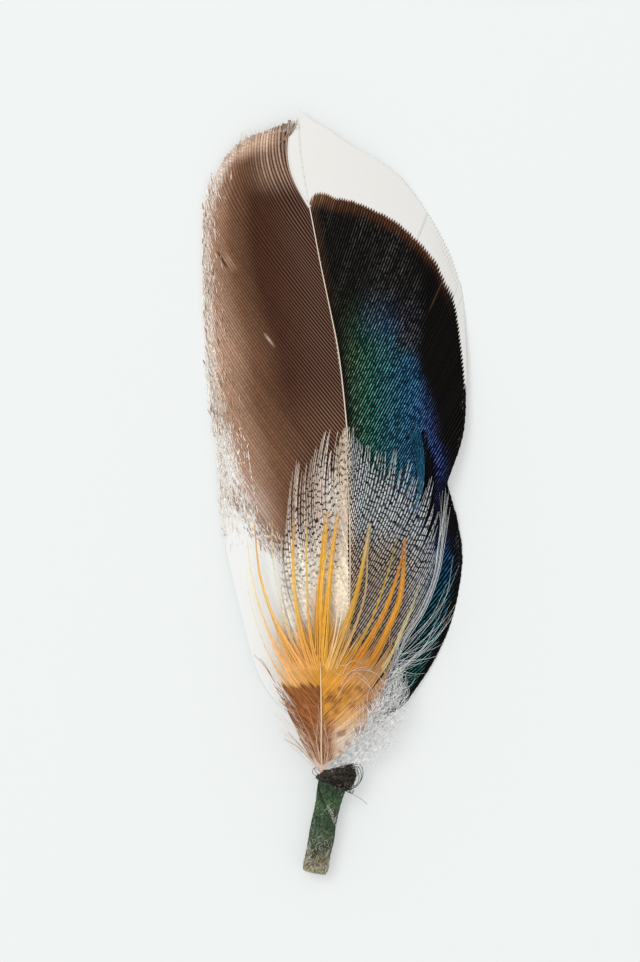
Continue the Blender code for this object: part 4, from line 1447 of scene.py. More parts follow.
def fibre_tone(tree, place, turn, size, reach, low, high):
    """A factor on a colour that changes along fibres `size` mm wide and long, at an angle."""
    laid = add(
        tree, "ShaderNodeMapping", {"vector_type": "TEXTURE"},
        {"Vector": place, "Rotation": (0, 0, turn), "Scale": [s * MM for s in (*size, 0.4)]},
    )
    noise = add(tree, "ShaderNodeTexNoise", inputs={"Vector": laid, "Scale": 1.0, "Detail": 2.0})
    return add(
        tree, "ShaderNodeMapRange",
        inputs={"Value": noise, "From Min": 0.36, "From Max": reach, "To Min": low,
                "To Max": high},
    )


def down_material(colours):
    """Loose white down: soft and matt, with painted shade in patches where its fibres would shade
    each other.
    """
    material, tree, shader = new_material("White down", 0.9, 0.05)
    place = add(tree, "ShaderNodeTexCoord", out="Object")
    tone = fibre_tone(tree, place, -0.6, (0.22, 0.7), 0.6, 0.55, 1.1)
    colour = add(
        tree, "ShaderNodeVectorMath", {"operation": "SCALE"}, {0: colours.down, "Scale": tone}
    )
    tree.links.new(colour, shader.inputs["Base Color"])
    # The down glows a little, painted light standing in for what comes through its fibres from
    # below, so that they stay bright.
    tree.links.new(colour, shader.inputs["Emission Color"])
    shader.inputs["Emission Strength"].default_value = 0.07
    return material


def build_down(colours, sizes):
    """White down at the flank feather's foot: soft barbs with hairs all round them."""
    chance = np.random.default_rng(31)
    edge = (
        (0.0, 2.6, -40.6), (0.12, 5.4, -40.0), (0.3, 9.0, -37.4), (0.45, 10.9, -34.2),
        (0.6, 11.5, -31.6), (0.75, 10.9, -29.2), (0.88, 9.9, -27.0), (1.0, 8.9, -25.6),
    )
    lines = []
    count = sizes.down_barbs
    for i in range(count):
        share = ((i + chance.uniform(0, 1)) / count) ** 0.75
        start = np.array((-0.9 + 3.4 * share, -41.6 + 6.6 * share)) + chance.uniform(-0.4, 0.5, 2)
        tip = np.array([smooth([(e[0], e[k]) for e in edge], share) for k in (1, 2)])
        tip = start + (tip - start) * chance.uniform(0.4, 1.02) * (1 - 0.2 * step(0.55, 1.0, share))
        leg = tip - start
        side = -right_of(leg) * chance.uniform(-0.24, 0.12)
        lift = chance.uniform(0.0, 1.3)
        line = []
        for k, bow in ((0.0, 0.0), (0.35, 0.8), (0.7, 0.9), (1.0, 0.0)):
            x, y = start + leg * k + side * bow
            z = flank_height(x, y) + 0.3 + lift * k * step(5.5, 8.0, x) + chance.uniform(-0.1, 0.2)
            line.append((x, y, max(z, 0.6)))
        lines.append(line)
    places = paths(lines, 14)
    share = np.linspace(0, 1, 14)
    material = down_material(colours)
    strands(
        "flank_down_barbs", material, "flank", places, 0.06 - 0.03 * share, sides=4,
        ridge=0.7, underside=0.7,
    )
    wisps = []
    for i in range(70):
        k = chance.uniform(0, 1)
        start = np.array((2.6 + 5.4 * k, -38.6 + 9.2 * k)) + chance.uniform(-0.5, 0.5, 2)
        way = heading(chance.uniform(70, 165) - 50 * k)
        leg = chance.uniform(0.6, 1.9) * way
        bow = right_of(leg) * chance.uniform(-0.25, 0.25)
        wisps.append((start, start + leg / 2 + bow, start + leg))
    strands(
        "flank_down_wisps", material, "flank", raised(paths(wisps, 10), golden_height, 0.35),
        np.linspace(0.035, 0.012, 10), sides=4, ridge=0.7, underside=0.7,
    )
    hairs(
        "flank_down_hairs", material, "flank", places, upward(places),
        size=0.5 + 0.6 * np.sin(math.pi * (0.2 + 0.7 * share)), spacing=0.7,
        length=sizes.down_length / MM, thickness=0.05, angles=(0.25, 0.9), spread=1.4, seed=5,
    )


def build_golden_side(side, colours, sizes, seed):
    """One half of the golden feather's body: fine barbs that end in soft points."""
    count = sizes.golden_barbs
    reach = np.random.default_rng(seed).uniform(0.78, 1.16, (count, 1))
    barbs = Barbs(GOLDEN[side], golden_height, count, 26, seed=seed, uneven=0.06, reach=reach)
    middle, lock = locks(barbs.chance, count, 3, 8)
    pull = barbs.chance.uniform(0.35, 0.9, count)[lock][:, None]
    barbs.bunch(middle, pull * step(0.45, 1.0, barbs.along))
    barbs.sway(0.06, 1.2, step(0.3, 1.0, barbs.along))
    x, y = barbs.x, barbs.y
    half = barbs.spacing() * 0.5 * 1.3 * (1 - 0.7 * step(0.72, 1.0, barbs.along))
    body = blend(
        x, (-10.0, colours.straw), (-6.6, colours.apricot), (-2.6, colours.gold),
        (1.2, colours.gold), (5.0, colours.tan),
    )
    pale = step(0.5, 1.0, barbs.along) * step(-30.0, -25.0, y) * (0.2 + 0.4 * barbs.luck)
    body = mix(body, colours.straw, pale * (step(5.0, 2.0, x) + 0.3))
    wave = 0.5 * np.sin(x * 1.9) + 0.4 * np.sin(x * 4.3 + 1.0)
    base = step(-28.7, -29.1, y + 0.35 * wave + 0.5 * (barbs.luck - 0.5))
    if side == "right":
        # On the right the brown base breaks up into a band, patches and a pale foot.
        band = step(0.6, 0.2, np.abs(y + 31.2 + 0.3 * wave)) * step(2.2, 1.0, x)
        patch = np.sin(x * 1.5 + 1.3 * np.sin(y * 1.3)) * np.sin(y * 1.9 + 0.9 * x)
        base = base * (0.15 + 0.55 * step(0.1, 0.6, patch)) + 0.6 * band
        base = np.clip(base + 0.8 * step(-33.0, -36.0, y) * step(0.4, -0.8, x), 0, 1)
        body = mix(body, colours.straw, 0.75 * step(-30.0, -38.0, y) * step(-1.0, 2.5, x))
        foot = step(-33.5, -37.5, y) * step(-1.4, 0.2, x)
        body = mix(body, mix(colours.straw, colours.foot, 0.6), 0.75 * foot)
        body = body * (1 + 0.2 * step(-26.5, -28.5, y) * step(-36.0, -33.0, y))[..., None]
    else:
        body = body * (1 - 0.16 * step(-32.0, -35.0, y))[..., None]
    tone = 1 + (barbs.luck - 0.5) * (0.3 + 0.35 * base)
    # How much painted highlight and shade each barb gets: more on the right below the locks, and on
    # the brown base.
    painted_rib_relief = np.clip(0.4 + step(0.5, 3.0, x) * step(-17.0, -21.0, y) + 0.4 * base, 0, 1)
    places, up = barbs.surface()
    return strands(
        "golden_" + side + "_vane", dyed_material(), "golden", places,
        np.clip(half, 0.028, 0.2), up, sides=6, ridge=sizes.ridge,
        ground=mix(body, colours.chestnut, base) * tone[..., None], relief=painted_rib_relief,
        fray=0.2 + 0.5 * base,
    )


def build_locks(sizes):
    """The long thin locks in which the golden feather's barbs stick together."""
    chance = np.random.default_rng(23)
    share = np.linspace(0, 1, 34)
    plans, sides, widths, shades, tones = [], [], [], [], []
    for line, width, barbs, colours in LOCKS:
        path = paths([line], 34)[0]
        wide = np.interp(share, (0.0, 0.5, 1.0), width)
        ground = blend(share, *zip((0.0, 0.35, 0.8), [linear(c) for c in colours]))
        for i in range(barbs):
            side = (i + 0.5) / barbs * 2 - 1
            wander = 0.12 * np.sin(share * chance.uniform(4, 9) + chance.uniform(0, 6))
            late = chance.uniform(0, 0.05)
            plans.append(path + across(path) * ((side + wander) * wide / 2)[:, None])
            sides.append([side])
            widths.append(wide / barbs * 0.66 * (0.45 + 0.55 * step(late, late + 0.16, share)))
            shades.append(ground * chance.uniform(0.86, 1.14))
            # How much painted highlight and shade each barb of a lock gets.
            tones.append([chance.uniform(0.3, 0.8)])
    plan = np.array(plans)
    # Each lock is arched across, and its foot sinks into the feather's body.
    arch = 0.16 * (1 - np.array(sides) ** 2) + 0.12
    sink = step(-23.0, -28.0, plan[..., 1])
    strands(
        "golden_locks", dyed_material(), "golden",
        raised(plan, golden_height, arch * (1 - sink) - 0.12 * sink),
        np.clip(widths, 0.022, 0.2), sides=6, ridge=sizes.ridge, ground=np.array(shades),
        relief=tones, fray=0.25,
    )


def build_golden(colours, sizes):
    """The golden feather on top, with its locks and its dotted shaft."""
    piece = build_golden_side("left", colours, sizes, 21)
    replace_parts(piece, "golden_feather")
    build_golden_side("right", colours, sizes, 22)
    build_locks(sizes)
    y = np.linspace(-42.5, -18.0, 60)
    dotted = step(0.2, 0.7, np.sin(y * 4.2)) * step(-26.5, -25.0, y) * step(-18.9, -19.5, y)
    shade = blend(y, (-27.0, colours.straw), (-25.0, colours.gold))
    build_shaft(
        "golden_shaft", "golden", GOLDEN, y, golden_height, 0.22, np.linspace(0.15, 0.05, 60),
        mix(shade, colours.chestnut, dotted),
    )


def build_golden_hairs(colours):
    """Loose barbs at the golden feather's foot: brown at its left, pink with hairs on top."""
    chance = np.random.default_rng(71)
    arcs = [
        ((0.4, -30.8), (1.7, -28.6), (3.1, -27.4)),
        ((3.4, -27.4), (5.1, -28.8), (6.0, -30.2), (6.6, -31.7)),
        ((2.8, -26.7), (4.8, -26.6), (6.6, -27.4), (7.6, -29.4)),
        ((-0.1, -26.8), (1.0, -27.4), (1.9, -26.0), (2.5, -25.2)),
        ((0.4, -25.8), (1.6, -25.9), (3.0, -25.2), (4.2, -25.6)),
        ((0.9, -29.2), (2.0, -27.2), (4.0, -26.2), (5.6, -26.6)),
        ((2.2, -27.8), (3.4, -27.0), (5.0, -28.2), (5.4, -29.6)),
    ]
    brown, pink = [], list(arcs)
    for i in range(28):
        k = i / 27
        way = heading(140 - 66 * k + chance.uniform(-5, 5))
        reach = chance.uniform(6.5, 13.0) * (1 - 0.3 * abs(2 * k - 0.8))
        start = np.array((-2.0 + 0.5 * k, -42.0)) + chance.uniform(-0.1, 0.1, 2)
        end = start + reach * way
        side = right_of(way) * chance.uniform(-0.06, 0.14) * reach
        pink.append((start, (start + end) / 2 + side, end + side * chance.uniform(-0.6, 0.2)))
    for i in range(60):
        k = chance.uniform(0, 1)
        edge = np.array((-2.6 - 5.6 * k, -41.2 + 11.6 * k)) + chance.uniform(-0.1, 0.5, 2)
        way = heading(chance.normal(126, 9))
        end = edge + chance.uniform(0.7, 2.2) * way
        bow = (edge + end) / 2 + chance.uniform(-0.12, 0.12, 2)
        (brown if i % 3 else pink).append((edge, bow, end))
    brown += [
        ((-8.7, -28.7), (-10.6, -25.8), (-12.0, -24.4)),
        ((-8.9, -28.4), (-10.3, -25.9), (-11.1, -24.9)),
        ((-2.6, -41.2), (-5.2, -38.4), (-7.4, -37.0)),
        ((-2.8, -40.6), (-5.2, -37.8), (-6.9, -36.0)),
    ]
    share = np.linspace(0, 1, 14)
    profile = np.interp(share, (0, 0.3, 1), (0.55, 1.0, 0.5))
    places = raised(paths(brown, 14), golden_height, 0.1)
    high = step(-32.0, -27.0, places[..., 1])
    strands(
        "golden_brown_barbs", shaft_material(), "golden", places, profile * 0.06, sides=5,
        ridge=0.8, underside=0.8, ground=mix(colours.chestnut, colours.tan, high), relief=0.2,
        fray=0.2,
    )
    places = raised(paths(pink, 14), golden_height, 0.35)
    shade = even(colours.pink, places[..., 0])
    shade[: len(arcs)] = mix(colours.pink, colours.foot, 0.45)
    wide = np.full((len(pink), 1), 0.027)
    wide[: len(arcs)] *= 1.5
    strands(
        "golden_pink_barbs", dyed_material(), "golden", places, profile * wide, sides=5,
        ridge=0.8, underside=0.8, ground=shade, relief=0.2, fray=0.2,
    )
    hairs(
        "golden_pink_hairs", plain_material("Pink aftershaft down", colours.pink, 0.8, 0.1),
        "golden", places, upward(places), size=0.5 + 0.5 * share, spacing=0.22, length=1.2,
        thickness=0.015, angles=(0.3, 0.8), spread=0.6, seed=9,
    )


def thread_turns(turns, lift, loose, seed):
    """Turns of thread round the quills, wound wider on the right, one line a turn."""
    chance = np.random.default_rng(seed)
    angle = np.linspace(0, 2 * math.pi, 61)[None] * np.ones((turns, 1))
    level = (np.arange(turns)[:, None] + angle / (2 * math.pi)) / turns * 2 - 1
    lean = chance.uniform(-loose, loose, (turns, 1))
    phase = chance.uniform(0, 2 * math.pi, (turns, 1))
    tangle = 0.5 * lean * np.sin(3 * angle + 2 * phase) + 0.25 * lean * np.sin(7 * angle - phase)
    level = np.clip(level + lean * np.sin(angle + phase) + tangle, -1.08, 1.12)
    half = 1.0 + 0.72 * np.cos(angle)
    rounding = 0.35 * (1 - np.sqrt(1 - np.minimum(np.abs(level), 0.97) ** 2))
    radius = 2.3 + 0.45 * (1 + np.cos(angle)) - rounding + lift
    radius = radius - 0.55 * step(0.1, -1.0, level) * (1 + np.cos(angle)) / 2
    radius = radius + chance.uniform(-0.08, 0.12, (turns, 1))
    radius = radius + 0.06 * np.sin(5 * angle + phase) + 0.05 * np.sin(9 * angle + 2 * phase)
    x = -0.1 + radius * np.cos(angle)
    y = -42.8 + half * level + 0.08 * np.sin(7 * angle + 3 * phase)
    z = np.maximum(2.45 + radius * np.sin(angle), 0.2)
    places = np.stack([x, y, z], axis=-1)
    up = np.stack([np.cos(angle), 0 * angle, np.sin(angle)], axis=-1)
    return places, up


def build_turns(colours, sizes):
    """The thread's turns: close ones below, and loose ones above with fluff on them."""
    for name, turns, lift, loose, seed in (
        ("thread_inner_turns", 22, -0.12, 0.3, 51), ("thread_outer_turns", 30, 0.08, 1.0, 52),
    ):
        places, up = thread_turns(turns, lift, loose, seed)
        tone = np.random.default_rng(seed + 1).uniform(0.35, 2.1, (turns, 1, 1)) ** 1.3
        piece = strands(
            name, thread_material(), "thread", places, sizes.thread_radius / MM, up, **ROUND,
            ground=np.array(colours.thread) * tone, relief=0.8, fray=1.0,
        )
    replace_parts(piece, "thread_binding")
    hairs(
        "thread_fluff", plain_material("Cotton fluff", colours.fluff, 0.9, 0.1), "thread",
        places, up, size=1.0, spacing=0.9, length=0.7, thickness=0.02, angles=(0.3, 1.0),
        spread=1.5, seed=13,
    )


def build_tangle(colours):
    """Short curls of loose thread all over the binding. Every third one has gone pale."""
    chance = np.random.default_rng(57)
    lines, tones = [], []
    for i in range(110):
        x, y = chance.uniform(-1.7, 2.7), chance.uniform(-1, 1)
        way, bend = chance.uniform(0, 2 * math.pi), chance.uniform(-1.6, 1.6)
        line = []
        for _ in range(4):
            middle, half = -42.7 - 0.12 * x, 0.62 + 0.3 * (x + 1.7)
            aside = np.clip((x - 0.3) / 3.1, -0.98, 0.98)
            height = 5.1 * math.sqrt(1 - aside**2) + 0.15 * (x > 0) + chance.uniform(-0.1, 0.25)
            line.append((x, middle + half * y, max(height, 1.0)))
            x = np.clip(x + 0.5 * math.cos(way), -2.1, 3.0)
            y = np.clip(y + 0.5 * math.sin(way), -1.1, 1.2)
            way += bend + chance.uniform(-0.5, 0.5)
        lines.append(line)
        tones.append([chance.uniform(0.2, 0.9) if i % 3 else chance.uniform(6.0, 19.0)])
    tones = np.array(tones)
    strands(
        "thread_tangle", thread_material(), "thread", paths(lines, 10),
        np.where(tones > 3, 0.03, 0.06), sides=6, **ROUND,
        ground=np.array(colours.thread) * tones[..., None], relief=0.5, fray=0.6,
    )


def build_loose_loops(colours):
    """Loops of thread that stand off both sides of the binding, and one loose end."""
    loops = (
        ((2.6, -41.3, 3.2), (3.6, -41.2, 3.4), (4.1, -42.4, 3.2), (3.8, -43.6, 3.0),
         (2.6, -44.6, 2.9), (1.6, -44.6, 3.2)),
        ((2.5, -41.6, 3.8), (3.5, -41.8, 4.0), (3.75, -42.9, 3.8), (3.3, -43.9, 3.4),
         (2.2, -44.4, 3.3), (1.4, -44.3, 3.4)),
        ((2.7, -41.0, 2.6), (3.9, -40.9, 2.4), (4.35, -42.0, 2.3), (4.1, -43.2, 2.4),
         (3.2, -44.3, 2.5), (2.2, -44.6, 2.6)),
        ((2.3, -41.2, 4.2), (2.9, -40.9, 4.6), (3.5, -41.5, 4.5), (3.4, -42.5, 4.2),
         (2.8, -43.0, 4.0), (2.2, -43.2, 4.0)),
        ((-2.0, -42.6, 3.0), (-2.6, -42.1, 3.4), (-2.9, -41.5, 3.6), (-2.6, -41.2, 3.8),
         (-2.2, -41.6, 3.8), (-1.8, -42.2, 3.8)),
        ((-1.9, -42.9, 2.6), (-2.7, -42.6, 2.8), (-3.2, -42.1, 2.9), (-3.1, -41.5, 3.0),
         (-2.7, -41.4, 3.0), (-2.2, -41.9, 3.2)),
        ((1.6, -44.6, 3.0), (2.4, -45.1, 3.0), (3.3, -45.6, 2.9), (4.0, -46.0, 2.8),
         (4.6, -46.5, 2.7), (5.0, -46.9, 2.6)),
    )
    places = paths(loops, 30)
    half = np.array((0.055, 0.05, 0.06, 0.05, 0.05, 0.045, 0.03))[:, None]
    strands(
        "thread_loose_loops", thread_material(), "thread", places, half, sides=6, **ROUND,
        ground=even(colours.thread, places[..., 0]) * 1.6, relief=0.3, fray=0.4,
    )


def stem_places(share, angle, lift):
    """Places on the taped stem: share of its length from the thread down, and angle round it."""
    stations = (
        (-42.6, -0.05, 2.5, 1.96), (-43.4, -0.15, 2.35, 1.98), (-44.6, -0.4, 2.05, 1.96),
        (-46.5, -0.8, 1.7, 1.84), (-50.0, -1.55, 1.62, 1.8), (-54.0, -2.3, 1.6, 1.8),
        (-56.2, -2.75, 1.6, 1.88), (-57.1, -2.94, 1.6, 1.74),
    )
    span = stations[-1][0] - stations[0][0]
    at = np.array([(s[0] - stations[0][0]) / span for s in stations])
    y = stations[0][0] + span * share
    x, z, r = (
        np.interp(share, at, [s[k] for s in stations]) for k in (1, 2, 3)
    )
    r = r + lift
    lean = math.radians(11.5)
    aside, height = r * np.cos(angle), r * np.sin(angle)
    return np.stack(
        [x + aside * math.cos(lean), y - aside * math.sin(lean), np.maximum(z + height, 0.02)],
        axis=-1,
    )


def tape_material():
    """Waxed crepe paper tape: matt green, its criss-cross fibres paler, rubbed at the folds."""
    material, tree, shader = new_material("Green waxed crepe tape", 0.75, 0.25)
    ground = add(tree, "ShaderNodeAttribute", {"attribute_name": "ground"})
    worn = add(tree, "ShaderNodeAttribute", {"attribute_name": "worn"}, out="Fac")
    place = add(tree, "ShaderNodeTexCoord", out="Object")
    # Crepe fibres are about 0.03 mm across. They are drawn at 0.13 mm, so that they show.
    one_way, other_way = (
        fibre_tone(tree, place, turn, (0.13, 0.9), 0.66, 0.42, 1.62) for turn in (0.75, -0.5)
    )
    amount = add(
        tree, "ShaderNodeMath", {"operation": "MULTIPLY"}, {0: one_way, 1: other_way}
    )
    blotch = add(
        tree, "ShaderNodeTexNoise",
        inputs={"Vector": place, "Scale": 1 / (1.1 * MM), "Detail": 3.0},
    )
    rub = add(
        tree, "ShaderNodeMapRange", {"interpolation_type": "SMOOTHSTEP"},
        {"Value": blotch, "From Min": 0.5, "From Max": 0.72},
    )
    rub = add(tree, "ShaderNodeMath", {"operation": "MULTIPLY"}, {0: rub, 1: worn})
    green = add(
        tree, "ShaderNodeVectorMath", {"operation": "SCALE"}, {0: ground, "Scale": amount}
    )
    colour = add(
        tree, "ShaderNodeMix", {"data_type": "RGBA"},
        {0: rub, 6: green, 7: (*linear("9A967E"), 1)}, out=2,
    )
    tree.links.new(colour, shader.inputs["Base Color"])
    return material


def build_tape(colours, sizes):
    """The stem: one strip of crepe tape wound round the quills, pinched flat at its end."""
    around, along = 120, 210
    angle = np.linspace(0, 2 * math.pi, around, endpoint=False)[None]
    share = np.linspace(0, 1, along)[:, None]
    length = STEM_LENGTH * share
    lap = np.mod(angle / (2 * math.pi) + length / (sizes.tape_lead / MM) + 0.413, 1.0)
    ridge = sizes.tape_step / MM * (1 - lap)
    turn = angle * 1.85
    crease = (
        0.030 * np.sin(turn * 9 + length * 5.1 + 1.3 * np.sin(length * 1.7))
        + 0.022 * np.sin(turn * 14 - length * 6.7 + 1.1 * np.sin(turn * 2))
        + 0.035 * np.sin(turn * 3 + length * 2.3) * np.sin(length * 1.1)
        + 0.05 * np.sin(length * 0.9 + 2 * angle)
    )
    calm = step(0.0, 0.05, share) * step(1.0, 0.97, share)
    places = stem_places(share, angle, (ridge + crease) * calm)
    # Three rings more close the end, each further in than the one before.
    ends = stem_places(np.ones((3, 1)), angle, np.array([-0.35, -0.95, -1.45])[:, None])
    ends[..., 1] += np.array([-0.12, 0.18, 0.3])[:, None]
    points = np.concatenate([places, ends]).reshape(-1, 3)
    index = np.arange(len(points)).reshape(-1, around)
    after = np.roll(index, -1, axis=1)
    quads = np.stack([index[:-1], index[1:], after[1:], after[:-1]], axis=-1).reshape(-1, 4)
    mesh = bpy.data.meshes.new("stem_tape_wound")
    mesh.from_pydata(
        (points * MM).tolist(), [], [*quads.tolist(), index[0].tolist(), index[-1][::-1].tolist()]
    )
    y = points[:, 1]
    shade = blend(
        y, (-57.0, colours.tape_end), (-54.5, colours.tape_worn), (-53.0, colours.tape_dark),
        (-52.0, colours.tape_mid), (-49.5, colours.tape_dark), (-47.0, colours.tape_light),
        (-44.5, colours.tape_dark),
    )
    lap = np.concatenate([lap, np.ones((3, around)) * 0.5]).ravel()
    olive = step(0.7, 0.85, lap) * step(-52.0, -50.5, y) * step(-46.8, -48.0, y)
    shade = mix(shade, colours.tape_worn, 0.5 * olive)
    # Painted shadow: the tape is darker along its lap, where one turn steps down onto the next.
    edge = step(0.035, 0.0, lap) + step(0.965, 1.0, lap)
    shade = shade * (1 - 0.6 * np.clip(edge, 0, 1))[:, None]
    shade = mix(shade, colours.tape_end, step(-56.5, -57.0, y))
    store(mesh, "ground", shade, y.shape)
    store(mesh, "worn", 0.06 + 0.7 * step(-51.5, -55.0, y), y.shape)
    for face in mesh.polygons:
        face.use_smooth = True
    mesh.materials.append(tape_material())
    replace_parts(settle(show("stem_tape_wound", mesh)), "stem_tape")


def build_tape_fibres(colours, sizes):
    """Fibres that have frayed off the tape, most of them near its end and along its lap."""
    chance = np.random.default_rng(81)
    shares, angles = [], []
    for i in range(150):
        if i < 40:
            start = chance.uniform(0.31, 0.5)
            turns = 1.587 - STEM_LENGTH * start / (sizes.tape_lead / MM)
            turn = 2 * math.pi * turns + chance.uniform(-0.35, 0.1)
        else:
            start = chance.uniform(0.05, 0.97) if i < 60 else chance.uniform(0.69, 0.97)
            turn = chance.uniform(0.15, math.pi - 0.15)
        shares.append(start + np.array((0, 0.5, 1)) * chance.uniform(-0.07, 0.07))
        angles.append(turn + np.array((0, 0.4, 1)) * chance.uniform(-0.5, 0.5))
    lift = np.array((0.06, 0.14, 0.08))
    lines = stem_places(np.clip(shares, 0.03, 0.985), np.array(angles), lift)
    strands(
        "stem_tape_fibres", plain_material("Frayed paper fibres", colours.fibre, 0.9, 0.1),
        "tape", paths(lines, 7), np.linspace(0.026, 0.014, 7), sides=4, ridge=0.8,
        underside=0.8,
    )


def build_stage():
    """A plain pale floor under the bunch, soft light all round and the camera over it."""
    mesh = bpy.data.meshes.new("paper_floor")
    side = 3.0
    mesh.from_pydata(
        [(-side, -side, 0), (side, -side, 0), (side, side, 0), (-side, side, 0)], [],
        [(0, 1, 2, 3)],
    )
    # The floor glows a little of its own, so that shadows on it stay faint.
    material, _, shader = new_material("Backlit matt white paper", 0.9, 0.0)
    shader.inputs["Base Color"].default_value = (*linear("B4B7B6"), 1)
    shader.inputs["Emission Color"].default_value = (*linear("FCFFFE"), 1)
    shader.inputs["Emission Strength"].default_value = 0.37
    mesh.materials.append(material)
    show("paper_floor", mesh)

    world = bpy.data.worlds.new("Soft studio light")
    world.use_nodes = True
    sky = world.node_tree.nodes["Background"]
    sky.inputs["Color"].default_value = (1, 1, 1, 1)
    sky.inputs["Strength"].default_value = 0.85
    bpy.context.scene.world = world

    lamp = bpy.data.lights.new("Key softbox", "AREA")
    lamp.shape = "DISK"
    lamp.size = 1.2
    lamp.energy = 16.0
    box = show("Key softbox", lamp)
    box.location = (-0.9, 0.65, 1.8)
    box.rotation_euler = (-box.location).to_track_quat("-Z", "Y").to_euler()

    camera = bpy.data.cameras.new("Camera over the bunch")
    camera.lens = 200
    camera.sensor_width = 36
    camera.sensor_fit = "AUTO"
    camera.clip_start = 0.05
    camera.clip_end = 10
    eye = show("Camera over the bunch", camera)
    eye.location = (-0.0021, 0.00165, 0.8047)
    bpy.context.scene.camera = eye
    bpy.context.scene.view_settings.view_transform = "Standard"


def colour_setting(name, description, hex_code):
    """A colour that a user can change, given as its sRGB hex value."""
    return bpy.props.FloatVectorProperty(
        name=name, description=description, subtype="COLOR", size=3, min=0.0, max=1.0,
        default=linear(hex_code),
    )


class FeatherColours(bpy.types.PropertyGroup):
    """Colours of the bunch."""

    white: colour_setting("Tip white", "White tip of the front feather", "DFDEDA")
    chalk: colour_setting("Chalk", "Palest broken ends of the fringe", "FBF5EC")
    foot: colour_setting("Foot white", "White foot of the front feather", "E3E4E2")
    linen: colour_setting("Linen", "Outermost fringe of the brown vane", "D3BCA8")
    buff: colour_setting("Buff", "Pale outer part of the brown vane", "B28E76")
    hazel: colour_setting("Hazel", "Middle of the brown vane", "6B4B36")
    brown: colour_setting("Brown", "Brown vane beside its shaft", "3D2114")
    black: colour_setting("Black", "Black outer part of the dark vanes", "0C0A09")
    umber: colour_setting("Umber", "Brown edge of the dark vane and flank dots", "44291A")
    dark_green: colour_setting("Dark green", "Tint of the sheen at the shaft", "101F0E")
    dark_jade: colour_setting("Dark jade", "Tint of the sheen, second", "062A22")
    dark_teal: colour_setting("Dark teal", "Tint of the sheen, third", "072B33")
    dark_blue: colour_setting("Dark blue", "Tint of the sheen, fourth", "072C44")
    dark_violet: colour_setting("Dark violet", "Tint of the sheen, outermost", "10163E")
    green: colour_setting("Green glint", "Glint of the sheen at the shaft", "627450")
    jade: colour_setting("Jade glint", "Glint of the sheen, second", "447E6C")
    teal: colour_setting("Teal glint", "Glint of the sheen, third", "407E86")
    blue: colour_setting("Blue glint", "Glint of the sheen, fourth", "3E769A")
    violet: colour_setting("Violet glint", "Glint of the sheen, outermost", "40548C")
    ash: colour_setting("Ash", "Grey glints near the white tip", "62605A")
    cream: colour_setting("Cream", "Shafts and the flank barbs beside them", "DCCAB4")
    ivory: colour_setting("Ivory", "Left half of the flank feather", "D2C8BE")
    vanilla: colour_setting("Vanilla", "Left half of the flank feather, low down", "EFE1C8")
    silver: colour_setting("Silver", "Right half of the flank feather", "AAADAF")
    slate: colour_setting("Slate", "Dark bars of the right half", "141614")
    down: colour_setting("Down", "Down and loose barbs of the flank feather", "F7F6F5")
    gold: colour_setting("Gold", "Middle of the golden feather", "CC9038")
    apricot: colour_setting("Apricot", "Left of the golden feather", "E0AC6C")
    straw: colour_setting("Straw", "Pale edges and shaft of the golden feather", "E8CCA4")
    tan: colour_setting("Tan", "Right of the golden feather", "B28454")
    chestnut: colour_setting("Chestnut", "Brown foot of the golden feather", "90582E")
    pink: colour_setting("Pink", "Loose down on the golden feather's foot", "E6C3A8")
    thread: colour_setting("Thread", "Black cotton thread", "25211B")
    fluff: colour_setting("Fluff", "Pale fibres on the thread", "8C887A")
    tape_dark: colour_setting("Tape, dark", "Dark green of the tape", "2B3E2B")
    tape_mid: colour_setting("Tape, middle", "Grey green of the tape", "48553F")
    tape_light: colour_setting("Tape, light", "Fresh green of the tape", "3A5534")
    tape_worn: colour_setting("Tape, worn", "Olive of the tape near its end", "504A34")
    tape_end: colour_setting("Tape, end", "Tan edge at the end of the stem", "8C866C")
    fibre: colour_setting("Fibre", "Frayed fibres of the tape", "C8C8BE")


def count_setting(name, description, default, least, most):
    """A number of barbs that a user can change."""
    return bpy.props.IntProperty(
        name=name, description=description, default=default, min=least, max=most
    )


def length_setting(name, description, default, least, most):
    """A length that a user can change, with its default and limits given in mm."""
    return bpy.props.FloatProperty(
        name=name, description=description, default=default * MM, min=least * MM,
        max=most * MM, unit="LENGTH",
    )


class FeatherSizes(bpy.types.PropertyGroup):
    """Counts and sizes of the bunch."""

    brown_barbs: count_setting("Brown barbs", "In the front feather's left vane", 116, 20, 300)
    dark_barbs: count_setting("Dark barbs", "In the front feather's right vane", 140, 20, 300)
    rear_barbs: count_setting("Rear barbs", "In the rear feather's right vane", 66, 20, 200)
    flank_barbs: count_setting("Flank barbs", "In the flank feather's right half", 57, 20, 200)
    golden_barbs: count_setting("Golden barbs", "On each side of that feather", 96, 20, 200)
    down_barbs: count_setting("Down barbs", "Soft ones at the flank's foot", 110, 10, 200)
    ridge: bpy.props.FloatProperty(
        name="Ridge", description="Height of a barb's ridge over half its width", default=0.5,
        min=0.0, max=1.5, subtype="FACTOR",
    )
    dot_step: length_setting("Dot step", "From dot to dot on a left flank barb", 1.12, 0.2, 3)
    dash_step: length_setting("Dash step", "From bar to bar on a right flank barb", 0.93, 0.2, 3)
    down_length: length_setting("Down length", "Length of the hairs on the down", 2.9, 0.1, 5)
    thread_radius: length_setting("Thread radius", "Half the thread's thickness", 0.1, 0.05, 0.4)
    tape_lead: length_setting("Tape lead", "Length of stem that one turn covers", 15, 3, 40)
    tape_step: length_setting("Tape step", "Height of the step where it laps", 0.12, 0, 0.5)


class FEATHER_OT_rear(bpy.types.Operator):
    """Builds the dark rear feather"""

    bl_idname = "hat_feather.rear"
    bl_label = "Rear feather"

    def execute(self, context):
        build_rear(context.scene.feather_colours, context.scene.feather_sizes)
        return {"FINISHED"}


